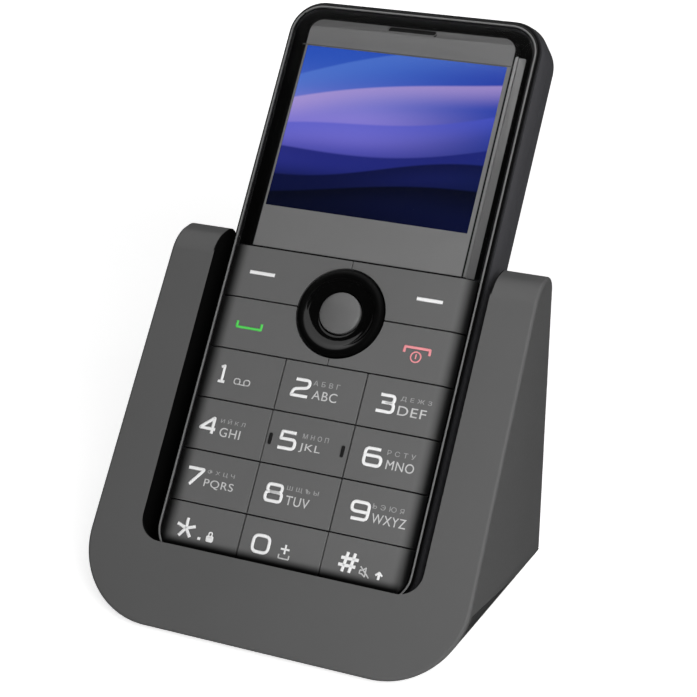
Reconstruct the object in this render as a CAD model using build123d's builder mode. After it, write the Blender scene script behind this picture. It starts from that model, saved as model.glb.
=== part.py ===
from build123d import *
from math import cos, radians, sin
import os

# A bar phone standing in its desk charging cradle. Millimetres, +Z up, the display
# facing -Y, the origin on the table under the middle of the whole object.
#
# The phone has its own axes on the leaning face: u across it, v up it from the display's
# lower edge, w out of the face from the level of the rim.

# ---------------------------------------------------------------- driving dimensions
LEAN = 38.5                                   # phone from the vertical, degrees
FACE_Y, FACE_Z = 8.4, 73.3                    # where u = v = w = 0 stands over the table

RIM_W, RIM_TOP, RIM_BOTTOM, RIM_LEVEL = 55.6, 46.55, -77.0, -0.9
RIM_TOP_R, RIM_LOW_R = 6.6, 6.35
BULGE, CROWN = 1.2, 2.5                       # sides and top end stand out past the rim
# the housing's shoulder: level, and how far its sides and top end stand out there
SHOULDER = [(RIM_LEVEL, 0.25, 0.35), (-1.7, 0.6, 1.05), (-3.2, 1.0, 1.7), (-6.0, BULGE, CROWN)]
PHONE_T, BACK_R, WALL = 15.4, 3.5, 1.4
SPLIT_W = -8.0                                # parting plane of the two housing halves

DISPLAY_W, DISPLAY_H, DISPLAY_U = 45.3, 37.0, -0.35
LENS_BOTTOM = -9.4
ROWS = [-9.75, -21.1, -32.4, -43.4, -54.5, -65.5, -76.2]   # ends of the key rows
COLUMN_X, COLUMN_MID = 9.07, 18.0             # lines between key columns, outer columns' middle
KEY_GAP = 0.28
RING_R, RING_HOLE_R, OK_R = 9.4, 4.75, 4.4
FIELD_ROLL, FIELD_DROP = 3.5, 1.3             # rolled edge of the key and lens field

PLATE_W = 1.54                                # cradle's front plate, out from the phone's face
PLATE_FOOT_Z = 1.8                            # its lower edge over the table
CRADLE_TOP_Z = 66.6
BACK_FOOT_Y, BACK_SLOPE = 7.1, 0.0556         # back wall at the foot, and its lean
CRADLE_HALF_LOW, CRADLE_HALF_HIGH = 41.7, 40.5
CORNER_FRONT_R, CORNER_BACK_R = 18.0, 1.2     # lower corners of the cradle, front and back
ROLL_R, TOP_BACK_R, EDGE_R = 8.0, 3.5, 0.7
CRADLE_WALL, POCKET_WALL, POCKET_HALF = 2.0, 1.2, 30.7
OPENING_BOTTOM, OPENING_R, POCKET_R = -74.8, 4.8, 3.0
SEAM_Z, SEAM_GAP, SEAM_BEHIND = 4.0, 0.25, 4.2
# the base's side walls rise towards the front plate: height there, where they end, and how
# far behind the plate's face they stay
SKIRT_Z, SKIRT_END_Y, SKIRT_BEHIND = 13.7, -2.0, 2.1
BASE_Z, BASE_FLOOR_Z = 0.8, 2.6
FOOT_R, FOOT_RECESS = 4.5, 0.6
PIN_X, PIN_W, PIN_R = 8.0, -4.5, 0.8         # sprung charging pins

# ---------------------------------------------------------------- shared frame
SIN, COS = sin(radians(LEAN)), cos(radians(LEAN))
ORIGIN = Vector(0, FACE_Y, FACE_Z)
ALONG = Vector(0, SIN, COS)                   # up the phone
OUT = Vector(0, -COS, SIN)                    # out of its face
FACE = Plane(origin=ORIGIN, x_dir=(1, 0, 0), z_dir=OUT)
SECTION = Plane(origin=ORIGIN, x_dir=(1, 0, 0), z_dir=-ALONG)     # x = u, y = w
SIDE = Plane(origin=ORIGIN, x_dir=ALONG, z_dir=(1, 0, 0))         # x = v, y = w
OUTWARD = Axis(ORIGIN, OUT)
FAR = 200.0

# levels inside the phone, measured along w
FIELD_ROOF = 0.1                              # top of keys and lens
LENS_UNDER, LEDGE = -1.5, -1.62
KEY_UNDER = -2.4
MAT_TOP, MAT_UNDER = -2.9, -3.65
DECK_TOP, DECK_UNDER = -3.7, -4.9
DOME_TOP, SHEET_TOP, BOARD_TOP, BOARD_UNDER = -5.1, -5.35, -5.6, -6.6
CAN_UNDER = -8.4
MID_TOP, MID_UNDER = -8.5, -9.1
BAY_UNDER, COVER_FLOOR = -13.8, -14.0

# how far each outline of the phone lies outside the rim line
INNER, FIELD, HOLLOW = -0.45, -0.75, BULGE - WALL
TRIM_W, TRIM_DEEP, TRIM_PROUD = 0.4, 0.6, 0.1
FIELD_HALF = RIM_W / 2 + FIELD
FIELD_BOTTOM, FIELD_TOP = RIM_BOTTOM - FIELD, RIM_TOP + FIELD
BODY_BOTTOM, BODY_TOP = RIM_BOTTOM - BULGE, RIM_TOP + CROWN

os.makedirs("parts", exist_ok=True)


def on_face(w):
    """Sketch plane parallel to the phone's face, at level w."""
    return FACE.offset(w)


def across(v):
    """Sketch plane square to the phone's length at height v, its normal down the phone."""
    return SECTION.offset(-v)


def save(piece, name):
    """Label a finished piece and write its STEP file."""
    piece.part.label = name
    export_step(piece.part, f"parts/{name}.step")


def outline(grow, low, high, reach=0.0):
    """Slab between two levels whose outline is the rim line, moved outwards by grow, and at
    the top end by reach more."""
    with BuildPart() as tool:
        with BuildSketch(on_face(low)):
            with Locations((0, (RIM_BOTTOM + RIM_TOP + reach) / 2)):
                Rectangle(RIM_W + 2 * grow, RIM_TOP - RIM_BOTTOM + reach + 2 * grow)
            fillet(vertices().group_by(Axis.Y)[0], RIM_LOW_R + grow)
            fillet(vertices().group_by(Axis.Y)[-1], RIM_TOP_R + grow)
        extrude(amount=high - low)
    return tool.part


def shoulder(upper, lower):
    """Slab between two steps of the shoulder, with an even slope from one to the other."""
    with BuildPart() as slab:
        for level, side, top in (lower, upper):
            with BuildSketch(on_face(level)):
                with Locations((0, (RIM_BOTTOM - side + RIM_TOP + top) / 2)):
                    Rectangle(RIM_W + 2 * side, RIM_TOP + top - RIM_BOTTOM + side)
                fillet(vertices().group_by(Axis.Y)[0], RIM_LOW_R + side)
                fillet(vertices().group_by(Axis.Y)[-1], RIM_TOP_R + side)
        loft(ruled=True)
    return slab.part


def box(u, v, low, high, size_u, size_v, radius=0.0):
    """Box in phone axes, with rounded corners when a radius is given."""
    with BuildPart() as piece:
        with BuildSketch(on_face(low)):
            with Locations((u, v)):
                Rectangle(size_u, size_v)
            if radius:
                fillet(vertices(), radius)
        extrude(amount=high - low)
    return piece


# ---------------------------------------------------------------- phone: housing halves
CROWN_REACH = CROWN - BULGE
with BuildPart() as housing_form:
    add(outline(BULGE, -PHONE_T, SHOULDER[-1][0], CROWN_REACH))
    fillet(housing_form.faces().sort_by(OUTWARD)[0].edges(), BACK_R)
    for upper_step, lower_step in zip(SHOULDER, SHOULDER[1:]):
        add(shoulder(upper_step, lower_step))

SCREW_SPOTS = [(-24, -66), (24, -66), (-21.5, 41.6), (21.5, 41.6)]
SCREW_R, SCREW_HEAD_R, SCREW_HEAD_H, SCREW_IN = 0.8, 1.7, 1.0, 2.8
BOSS_R = 2.2
WINDOW_W, WINDOW_BOTTOM, WINDOW_TOP = 48.8, -3.8, 38.5
EAR_V, EAR_W, EAR_H, MESH_H = 42.5, 13.0, 4.6, 1.8
SLOT_L, SLOT_H = 11.0, 1.3

RING_V = ROWS[1]
row_mid = [(low + high) / 2 for low, high in zip(ROWS[1:], ROWS)]
dome_spots = [(x, v) for v in row_mid[2:] for x in (-COLUMN_MID, 0, COLUMN_MID)]
dome_spots += [(x, v) for v in row_mid[:2] for x in (-COLUMN_MID, COLUMN_MID)]
dome_spots += [(0, RING_V)]

with BuildPart() as front_frame:
    add(housing_form.part)
    split(bisect_by=on_face(SPLIT_W), keep=Keep.TOP)
    # recess for the lens, a rebate for the rim trim, and the deeper key field
    add(outline(INNER, LEDGE, 1), mode=Mode.SUBTRACT)
    add(outline(0, RIM_LEVEL - TRIM_DEEP, 1), mode=Mode.SUBTRACT)
    with BuildSketch(on_face(DECK_TOP)):
        with Locations((0, LENS_BOTTOM - 0.1 - FAR / 2)):
            Rectangle(FAR, FAR)
    key_field = extrude(amount=LEDGE - DECK_TOP, mode=Mode.PRIVATE)
    add(key_field & outline(INNER, DECK_TOP, 1), mode=Mode.SUBTRACT)
    # hollow behind the deck, open to the back cover
    add(outline(HOLLOW, SPLIT_W - 1, DECK_UNDER, CROWN_REACH), mode=Mode.SUBTRACT)
    # windows for display and earpiece, holes for the key mat's nubs
    with BuildSketch(on_face(DECK_UNDER)):
        with Locations((0, (WINDOW_BOTTOM + WINDOW_TOP) / 2)):
            Rectangle(WINDOW_W, WINDOW_TOP - WINDOW_BOTTOM)
        with Locations((0, EAR_V)):
            Rectangle(EAR_W + 0.4, EAR_H + 0.4)
        with Locations(*dome_spots):
            Circle(1.8)
    extrude(amount=-DECK_UNDER, mode=Mode.SUBTRACT)
    # screw bosses
    with BuildSketch(on_face(MID_TOP)):
        with Locations(*SCREW_SPOTS):
            Circle(BOSS_R)
    extrude(amount=DECK_UNDER - MID_TOP)
    with BuildSketch(on_face(MID_TOP)):
        with Locations(*SCREW_SPOTS):
            Circle(SCREW_R + 0.05)
    extrude(amount=SCREW_IN + 0.2, mode=Mode.SUBTRACT)
    # slots for the charge pads in the lower end
    with BuildSketch(across(BODY_BOTTOM - 1)):
        with Locations((-PIN_X, PIN_W), (PIN_X, PIN_W)):
            Rectangle(4.4, 2.4)
    extrude(amount=-(WALL + 1.6), mode=Mode.SUBTRACT)
save(front_frame, "front_frame")

with BuildPart() as rim_trim:
    add(outline(0, RIM_LEVEL - TRIM_DEEP, RIM_LEVEL + TRIM_PROUD))
    add(outline(-TRIM_W, RIM_LEVEL - TRIM_DEEP, RIM_LEVEL + TRIM_PROUD), mode=Mode.SUBTRACT)
    fillet(rim_trim.faces().sort_by(OUTWARD)[-1].edges(), 0.15)
save(rim_trim, "rim_trim")

# openings in the back cover
USB_WIDE, USB_TALL, USB_DEEP = 8.0, 3.0, 6.5
JACK_U, JACK_R, JACK_COLLAR_R, JACK_L = 13.0, 1.75, 2.6, 14.0
TORCH_U, TORCH_R = -12.0, 2.2
END_W = -11.0                                  # level of the sockets and the torch
CAMERA_V, CAMERA_R = 33.0, 4.0
SPEAKER_V, GRILLE_COUNT, GRILLE_PITCH = -60.0, 5, 2.2
GRILLE_L, GRILLE_H = 14.0, 1.0

with BuildPart() as back_cover:
    add(housing_form.part)
    split(bisect_by=on_face(SPLIT_W - 0.05), keep=Keep.BOTTOM)
    add(outline(HOLLOW, COVER_FLOOR, 0, CROWN_REACH), mode=Mode.SUBTRACT)
    with BuildSketch(on_face(-PHONE_T)):
        with Locations((0, CAMERA_V)):
            Circle(CAMERA_R)
        with Locations((0, SPEAKER_V)):
            with GridLocations(0, GRILLE_PITCH, 1, GRILLE_COUNT):
                SlotOverall(GRILLE_L, GRILLE_H)
    extrude(amount=4, mode=Mode.SUBTRACT)
    with BuildSketch(across(BODY_BOTTOM - 1)):
        with Locations((0, END_W)):
            RectangleRounded(USB_WIDE + 0.3, USB_TALL + 0.3, 1.2)
    extrude(amount=-(WALL + 2), mode=Mode.SUBTRACT)
    with BuildSketch(across(BODY_TOP + 1)):
        with Locations((JACK_U, END_W)):
            Circle(JACK_COLLAR_R + 0.1)
        with Locations((TORCH_U, END_W)):
            Circle(TORCH_R + 0.05)
    extrude(amount=WALL + 2, mode=Mode.SUBTRACT)
save(back_cover, "back_cover")

# ---------------------------------------------------------------- phone: keys and lens
# the roll is drawn a little past the field's outline, which then cuts it
OVER, PAST = 0.3, 1.0
FIELD_ROLL_R = (FIELD_ROLL ** 2 + FIELD_DROP ** 2) / (2 * FIELD_DROP)
ROLL_LOW = FIELD_ROOF - FIELD_ROLL_R + (FIELD_ROLL_R ** 2 - (FIELD_ROLL + OVER) ** 2) ** 0.5


def rolled_bar(plane, low, high):
    """Long bar whose roof rolls down past two opposite sides of the field."""
    with BuildPart() as bar:
        with BuildSketch(plane):
            with BuildLine():
                up = TangentArc((high - FIELD_ROLL, FIELD_ROOF), (high + OVER, ROLL_LOW),
                                tangent=(1, 0))
                down = TangentArc((low + FIELD_ROLL, FIELD_ROOF), (low - OVER, ROLL_LOW),
                                  tangent=(-1, 0))
                Line(down @ 0, up @ 0)
                Polyline(up @ 1, (high + OVER, KEY_UNDER - PAST),
                         (low - OVER, KEY_UNDER - PAST), down @ 1)
            make_face()
        extrude(amount=FAR, both=True)
    return bar.part


with BuildPart() as field_form:
    add(outline(FIELD, KEY_UNDER, FIELD_ROOF + PAST))
    add(rolled_bar(SECTION, -FIELD_HALF, FIELD_HALF), mode=Mode.INTERSECT)
    add(rolled_bar(SIDE, FIELD_BOTTOM, FIELD_TOP), mode=Mode.INTERSECT)


NUBS, NUB_W, NUB_L, NUB_H = [(-8.05, -49.4), (7.85, -49.2)], 0.7, 2.4, 0.3
PANE_HALF, PANE_TOP, PANE_R, PANE_UNDER = 24.2, 43.7, 3.0, -0.8   # thin middle of the lens


def pane_room(inset, low):
    """Room under the thin middle of the lens, its walls and roof moved inwards by inset."""
    with BuildPart() as room:
        with BuildSketch(on_face(low)):
            with Locations((0, PANE_TOP - inset)):
                Rectangle(2 * (PANE_HALF - inset), FAR, align=(Align.CENTER, Align.MAX))
            fillet(vertices().group_by(Axis.Y)[-1], PANE_R - inset)
        extrude(amount=PANE_UNDER - inset - low)
    return room.part


def field_piece(name, left, right, bottom, top, under, ring=0.0, slot=False, nubs=False):
    """One piece of the rolled field, its gaps already taken off the given limits."""
    with BuildPart() as piece:
        with BuildSketch(on_face(under)):
            with Locations(((left + right) / 2, (bottom + top) / 2)):
                Rectangle(right - left, top - bottom)
            if ring:
                with Locations((0, RING_V)):
                    Circle(ring, mode=Mode.SUBTRACT)
            if slot:
                with Locations((0, EAR_V)):
                    SlotOverall(SLOT_L, SLOT_H, mode=Mode.SUBTRACT)
        extrude(amount=FIELD_ROOF + PAST - under)
        add(field_form.part, mode=Mode.INTERSECT)
        if slot:
            add(pane_room(0, under - 1), mode=Mode.SUBTRACT)
        if nubs:
            with BuildSketch(on_face(under)):
                with Locations(*NUBS):
                    RectangleRounded(NUB_W, NUB_L, NUB_W / 2 - 0.05)
            extrude(amount=FIELD_ROOF + NUB_H - under)
    save(piece, name)


FIELD_END = FIELD_HALF + PAST
field_piece("lens", -FIELD_END, FIELD_END, LENS_BOTTOM, FIELD_TOP + PAST, LENS_UNDER, slot=True)

HALF_GAP = KEY_GAP / 2
for name, side, row in (("soft_key_left", -1, 0), ("soft_key_right", 1, 0),
                        ("send_key", -1, 1), ("end_key", 1, 1)):
    ends = sorted((side * HALF_GAP / 2, side * FIELD_END))
    field_piece(name, ends[0], ends[1], ROWS[row + 1] + HALF_GAP,
                ROWS[row] - (HALF_GAP if row else 0), KEY_UNDER, ring=RING_R + KEY_GAP)

KEY_NAMES = [["key_1", "key_2", "key_3"], ["key_4", "key_5", "key_6"],
             ["key_7", "key_8", "key_9"], ["key_star", "key_0", "key_hash"]]
column_ends = [(-FIELD_END, -COLUMN_X - HALF_GAP), (-COLUMN_X + HALF_GAP, COLUMN_X - HALF_GAP),
               (COLUMN_X + HALF_GAP, FIELD_END)]
for row, names in enumerate(KEY_NAMES, start=2):
    low = ROWS[row + 1] + HALF_GAP if row < len(ROWS) - 2 else FIELD_BOTTOM - PAST
    for name, (left_end, right_end) in zip(names, column_ends):
        field_piece(name, left_end, right_end, low, ROWS[row] - HALF_GAP, KEY_UNDER,
                    nubs=name == "key_5")

# Navigation: a dished ring that rocks left and right on a ridge of its pad, and the pad
# rocks up and down on its own ridge, square to the first.
RING_RIM, RING_LIP, RING_DISH, RING_UNDER = 0.9, 1.1, -0.1, -1.5
PAD_TOP, PAD_UNDER, PAD_R, PAD_HOLE_R = -2.05, -2.35, 6.6, 4.0
RIDGE_TOP, RIDGE_UNDER, RIDGE_W = -1.55, -2.85, 1.0
STEM_R, OK_UNDER, OK_EDGE, OK_CROWN = 3.2, -2.4, 0.35, 1.15
RING_CENTRE = ORIGIN + ALONG * RING_V
RING_SIDE = Plane(origin=RING_CENTRE, x_dir=ALONG, z_dir=(1, 0, 0))
RING_AXIS = Axis(RING_CENTRE, OUT)

with BuildPart() as nav_ring:
    with BuildSketch(RING_SIDE):
        with BuildLine():
            lip = TangentArc((RING_R - RING_LIP, RING_RIM), (RING_R, RING_RIM - RING_LIP),
                             tangent=(1, 0))
            dish = Spline(lip @ 0, (6.9, 0.3), (RING_HOLE_R, RING_DISH),
                          tangents=((-1, 0), (-1, -0.1)))
            Polyline(lip @ 1, (RING_R, RING_UNDER), (RING_HOLE_R, RING_UNDER), dish @ 1)
        make_face()
    revolve(axis=RING_AXIS)
save(nav_ring, "nav_ring")

with BuildPart() as nav_pad:
    with BuildSketch(on_face(PAD_UNDER)):
        with Locations((0, RING_V)):
            Circle(PAD_R)
    extrude(amount=PAD_TOP - PAD_UNDER)
    with BuildSketch(on_face(PAD_TOP)):
        with Locations((0, RING_V)):
            Rectangle(RIDGE_W, 2 * PAD_R - 0.6)
    extrude(amount=RIDGE_TOP - PAD_TOP)
    with BuildSketch(on_face(RIDGE_UNDER)):
        with Locations((0, RING_V)):
            Rectangle(2 * PAD_R - 0.6, RIDGE_W)
    extrude(amount=PAD_UNDER - RIDGE_UNDER)
    with BuildSketch(on_face(RIDGE_UNDER)):
        with Locations((0, RING_V)):
            Circle(PAD_HOLE_R)
    extrude(amount=3, mode=Mode.SUBTRACT)
save(nav_pad, "nav_pad")

with BuildPart() as ok_key:
    with BuildSketch(RING_SIDE):
        with BuildLine():
            crown = TangentArc((0, OK_CROWN), (OK_R, OK_EDGE), tangent=(1, 0))
            Polyline(crown @ 1, (OK_R, OK_EDGE - 1.2), (STEM_R, OK_EDGE - 1.6),
                     (STEM_R, OK_UNDER), (0, OK_UNDER), crown @ 0)
        make_face()
    revolve(axis=RING_AXIS)
save(ok_key, "ok_key")

# ---------------------------------------------------------------- phone: display and earpiece
PRINT_T, PRINT_IN = 0.1, 0.2
with BuildPart() as lens_print:
    # from the lens's underside up to the roof of its room, all within the lens's outline
    with BuildSketch(on_face(LENS_UNDER - PRINT_T)):
        with Locations((0, (LENS_BOTTOM + FIELD_TOP) / 2)):
            Rectangle(2 * (FIELD_HALF - PRINT_IN), FIELD_TOP - LENS_BOTTOM - 2 * PRINT_IN)
        fillet(vertices().group_by(Axis.Y)[-1], RIM_TOP_R + FIELD)
    extrude(amount=PANE_UNDER - LENS_UNDER + PRINT_T)
    add(lens_print.part & pane_room(0, LENS_UNDER - 1), mode=Mode.REPLACE)
    with BuildSketch(on_face(LENS_UNDER - PRINT_T)):
        with Locations((0, (LENS_BOTTOM + FIELD_TOP) / 2)):
            Rectangle(2 * (FIELD_HALF - PRINT_IN), FIELD_TOP - LENS_BOTTOM - 2 * PRINT_IN)
        fillet(vertices().group_by(Axis.Y)[-1], RIM_TOP_R + FIELD)
    extrude(amount=PRINT_T)
    add(pane_room(PRINT_T, LENS_UNDER - 1), mode=Mode.SUBTRACT)
    with BuildSketch(on_face(LENS_UNDER - 1)):
        with Locations((DISPLAY_U, DISPLAY_H / 2)):
            Rectangle(DISPLAY_W, DISPLAY_H)
        with Locations((0, EAR_V)):
            SlotOverall(SLOT_L, SLOT_H)
    extrude(amount=2, mode=Mode.SUBTRACT)
save(lens_print, "lens_print")

PANEL_W, PANEL_H, PANEL_V = 48.0, 41.5, 17.3
PANEL_TOP, PANEL_UNDER = PANE_UNDER - PRINT_T - 0.05, -3.3
display_panel = box(0, PANEL_V, PANEL_UNDER, PANEL_TOP, PANEL_W, PANEL_H, radius=0.5)
save(display_panel, "display_panel")

with BuildPart() as display_tray:
    with BuildSketch(on_face(DECK_UNDER + 0.05)):
        with Locations((0, PANEL_V)):
            Rectangle(PANEL_W + 0.4, PANEL_H + 0.3)
    extrude(amount=PANEL_UNDER - DECK_UNDER - 0.1)
    with BuildSketch(on_face(DECK_UNDER)):
        with Locations((0, PANEL_V)):
            with GridLocations(23, 19, 2, 2):
                RectangleRounded(18, 14, 1)
    extrude(amount=1.0, mode=Mode.SUBTRACT)
save(display_tray, "display_tray")

earpiece = box(0, EAR_V, DECK_UNDER, -2.1, EAR_W, EAR_H, radius=1.2)
save(earpiece, "earpiece")
earpiece_mesh = box(0, EAR_V, -1.95, PANEL_TOP, EAR_W, MESH_H, radius=0.5)
save(earpiece_mesh, "earpiece_mesh")

# ---------------------------------------------------------------- phone: keypad stack, boards
MAT_BOTTOM, MAT_HIGH = FIELD_BOTTOM + 0.3, LENS_BOTTOM - 0.6
with BuildPart() as key_mat:
    with BuildSketch(on_face(MAT_UNDER)):
        with Locations((0, (MAT_BOTTOM + MAT_HIGH) / 2)):
            RectangleRounded(2 * FIELD_HALF - 0.6, MAT_HIGH - MAT_BOTTOM, 5.0)
    extrude(amount=MAT_TOP - MAT_UNDER)
    with BuildSketch(on_face(DOME_TOP + 0.05)):
        with Locations(*dome_spots):
            Circle(1.1)
    extrude(amount=MAT_UNDER - DOME_TOP)
save(key_mat, "key_mat")

SHEET_W = 46.0
with BuildPart() as dome_sheet:
    with BuildSketch(on_face(BOARD_TOP)):
        with Locations((0, (MAT_BOTTOM + MAT_HIGH) / 2)):
            Rectangle(SHEET_W, MAT_HIGH - MAT_BOTTOM - 2)
    extrude(amount=SHEET_TOP - BOARD_TOP)
    with BuildSketch(on_face(SHEET_TOP)):
        with Locations(*dome_spots):
            Circle(2.2)
    extrude(amount=DOME_TOP - SHEET_TOP, taper=45)
    with BuildSketch(on_face(BOARD_TOP)):
        with Locations(*SCREW_SPOTS):
            Circle(BOSS_R + 0.5)
    extrude(amount=1, mode=Mode.SUBTRACT)
save(dome_sheet, "dome_sheet")

BOARD_W, BOARD_LOW, BOARD_HIGH = 50.0, -73.0, 38.7
with BuildPart() as main_board:
    with BuildSketch(on_face(BOARD_UNDER)):
        with Locations((0, (BOARD_LOW + BOARD_HIGH) / 2)):
            RectangleRounded(BOARD_W, BOARD_HIGH - BOARD_LOW, 2)
        with Locations(*SCREW_SPOTS):
            Circle(BOSS_R + 0.5, mode=Mode.SUBTRACT)
    extrude(amount=BOARD_TOP - BOARD_UNDER)
save(main_board, "main_board")

with BuildPart() as shield_cans:
    with BuildSketch(on_face(CAN_UNDER)):
        with Locations((-9, 8)):
            RectangleRounded(24, 30, 0.8)
        with Locations((9, -30)):
            RectangleRounded(20, 22, 0.8)
    extrude(amount=BOARD_UNDER - CAN_UNDER)
    with BuildSketch(on_face(CAN_UNDER + 0.2)):
        with Locations((-9, 8)):
            Rectangle(23.4, 29.4)
        with Locations((9, -30)):
            Rectangle(19.4, 21.4)
    extrude(amount=BOARD_UNDER - CAN_UNDER, mode=Mode.SUBTRACT)
save(shield_cans, "shield_cans")

BATTERY_W, BATTERY_L, BATTERY_V = 36.0, 55.0, -21.0
with BuildPart() as mid_frame:
    add(outline(HOLLOW - 0.15, MID_UNDER, MID_TOP, CROWN_REACH))
    with BuildSketch(on_face(BAY_UNDER + 1)):
        with Locations((0, BATTERY_V)):
            Rectangle(BATTERY_W + 2.6, BATTERY_L + 2.6)
            Rectangle(BATTERY_W + 0.6, BATTERY_L + 0.6, mode=Mode.SUBTRACT)
    extrude(amount=MID_UNDER - BAY_UNDER - 1)
    with BuildSketch(on_face(MID_UNDER)):
        with Locations(*SCREW_SPOTS):
            Circle(SCREW_R + 0.1)
        with Locations((JACK_U, BODY_TOP - JACK_L / 2)):
            Rectangle(7.0, JACK_L + 2)
        with Locations((TORCH_U, BODY_TOP - 2)):
            Rectangle(5.0, 4.0)
    extrude(amount=1, mode=Mode.SUBTRACT)
save(mid_frame, "mid_frame")

with BuildPart() as housing_screws:
    with BuildSketch(on_face(MID_UNDER - SCREW_HEAD_H)):
        with Locations(*SCREW_SPOTS):
            Circle(SCREW_HEAD_R)
    extrude(amount=SCREW_HEAD_H)
    with BuildSketch(on_face(MID_UNDER)):
        with Locations(*SCREW_SPOTS):
            Circle(SCREW_R)
    extrude(amount=MID_TOP - MID_UNDER + SCREW_IN)
    with BuildSketch(on_face(MID_UNDER - SCREW_HEAD_H)):
        with Locations(*SCREW_SPOTS):
            Rectangle(2.0, 0.5)
            Rectangle(0.5, 2.0)
    extrude(amount=0.6, mode=Mode.SUBTRACT)
save(housing_screws, "housing_screws")

# ---------------------------------------------------------------- phone: things on the frame
battery = box(0, BATTERY_V, BAY_UNDER + 0.2, MID_UNDER - 0.05, BATTERY_W, BATTERY_L, radius=1.5)
save(battery, "battery")

with BuildPart() as battery_contacts:
    with BuildSketch(on_face(MID_UNDER - 3.0)):
        with Locations((0, BATTERY_V + BATTERY_L / 2 + 2.2)):
            with GridLocations(3.5, 0, 3, 1):
                Rectangle(1.2, 1.4)
    extrude(amount=3.0)
save(battery_contacts, "battery_contacts")

with BuildPart() as sim_holder:
    with BuildSketch(on_face(MID_UNDER - 1.6)):
        with Locations((-13, 20)):
            Rectangle(15, 16)
    extrude(amount=1.6)
    with BuildSketch(on_face(MID_UNDER - 1.2)):
        with Locations((-13, 21)):
            Rectangle(12.4, 16)
    extrude(amount=0.8, mode=Mode.SUBTRACT)
save(sim_holder, "sim_holder")

SPEAKER_UNDER = -13.2
with BuildPart() as loudspeaker:
    with BuildSketch(on_face(SPEAKER_UNDER)):
        with Locations((0, SPEAKER_V)):
            RectangleRounded(19, 13, 2)
    extrude(amount=MID_UNDER - SPEAKER_UNDER)
    with BuildSketch(on_face(SPEAKER_UNDER)):
        with Locations((0, SPEAKER_V)):
            RectangleRounded(16, 10, 1.5)
    extrude(amount=0.6, mode=Mode.SUBTRACT)
save(loudspeaker, "loudspeaker")

with BuildPart() as vibration_motor:
    with BuildSketch(on_face(MID_UNDER - 2.8)):
        with Locations((18, SPEAKER_V + 2)):
            Circle(4)
    extrude(amount=2.8)
save(vibration_motor, "vibration_motor")

with BuildPart() as microphone:
    with BuildSketch(on_face(BOARD_UNDER - 1.2)):
        with Locations((14, -69)):
            Circle(2)
    extrude(amount=1.2)
save(microphone, "microphone")

with BuildPart() as phone_usb_socket:
    with BuildSketch(across(BODY_BOTTOM + 0.5)):
        with Locations((0, END_W)):
            RectangleRounded(USB_WIDE, USB_TALL, 1.1)
    extrude(amount=-USB_DEEP)
    with BuildSketch(across(BODY_BOTTOM + 0.5)):
        with Locations((0, END_W)):
            RectangleRounded(USB_WIDE - 0.7, USB_TALL - 0.7, 0.8)
            Rectangle(USB_WIDE - 2.4, 0.7, mode=Mode.SUBTRACT)
    extrude(amount=-(USB_DEEP - 1), mode=Mode.SUBTRACT)
save(phone_usb_socket, "phone_usb_socket")

with BuildPart() as headphone_socket:
    with BuildSketch(across(BODY_TOP - WALL - 0.1)):
        with Locations((JACK_U, END_W)):
            RectangleRounded(6.4, 5.6, 0.6)
    extrude(amount=JACK_L - WALL)
    with BuildSketch(across(BODY_TOP - 0.3)):
        with Locations((JACK_U, END_W)):
            Circle(JACK_COLLAR_R)
    extrude(amount=WALL)
    with BuildSketch(across(BODY_TOP)):
        with Locations((JACK_U, END_W)):
            Circle(JACK_R)
    extrude(amount=JACK_L - 1, mode=Mode.SUBTRACT)
save(headphone_socket, "headphone_socket")

with BuildPart() as torch_lens:
    with BuildSketch(across(BODY_TOP - 0.1)):
        with Locations((TORCH_U, END_W)):
            Circle(TORCH_R)
    extrude(amount=2.2)
    fillet(torch_lens.edges().filter_by(GeomType.CIRCLE).sort_by(Axis(ORIGIN, ALONG))[-1], 0.4)
save(torch_lens, "torch_lens")

CAMERA_GLASS_T = 0.8
with BuildPart() as camera_window:
    with BuildSketch(on_face(-PHONE_T + 0.1)):
        with Locations((0, CAMERA_V)):
            Circle(CAMERA_R - 0.05)
    extrude(amount=CAMERA_GLASS_T)
save(camera_window, "camera_window")

with BuildPart() as camera_module:
    with BuildSketch(on_face(-12.6)):
        with Locations((0, CAMERA_V)):
            RectangleRounded(7.5, 7.5, 0.6)
    extrude(amount=MID_UNDER + 12.6)
    with BuildSketch(on_face(-PHONE_T + 0.1 + CAMERA_GLASS_T + 0.1)):
        with Locations((0, CAMERA_V)):
            Circle(2.9)
    extrude(amount=2.2)
    with BuildSketch(on_face(-PHONE_T + 0.1 + CAMERA_GLASS_T + 0.1)):
        with Locations((0, CAMERA_V)):
            Circle(1.6)
    extrude(amount=0.8, mode=Mode.SUBTRACT)
save(camera_module, "camera_module")

antenna = box(-17, 34.4, MID_UNDER - 0.25, MID_UNDER, 16, 9, radius=1)
save(antenna, "antenna")

with BuildPart() as charge_pads:
    with BuildSketch(across(BODY_BOTTOM + 0.2)):
        with Locations((-PIN_X, PIN_W), (PIN_X, PIN_W)):
            RectangleRounded(4.2, 2.2, 0.5)
    extrude(amount=-1.6)
save(charge_pads, "charge_pads")

# ---------------------------------------------------------------- cradle: forms
SECTION_OUT, SECTION_TOP = 2.0, 73.0          # loft sections lie outside the cradle
PHONE_GAP, LIP_W = 0.3, 0.35
BELOW = -5.0                                  # a height under the whole object


def plate_v(z, w):
    """Height along the phone of the point at level w that lies z over the table."""
    return (z - FACE_Z - w * SIN) / COS


def plate_y(z, w):
    """Y of the same point."""
    return FACE_Y + plate_v(z, w) * SIN - w * COS


def back_y(z):
    """Y of the cradle's leaning back wall at height z."""
    return BACK_FOOT_Y + (z - PLATE_FOOT_Z) * BACK_SLOPE


def half_width(z, inset):
    """Half width of the cradle at height z."""
    rise = (z - PLATE_FOOT_Z) / (CRADLE_TOP_Z - PLATE_FOOT_Z)
    return CRADLE_HALF_LOW + (CRADLE_HALF_HIGH - CRADLE_HALF_LOW) * rise - inset


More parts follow.
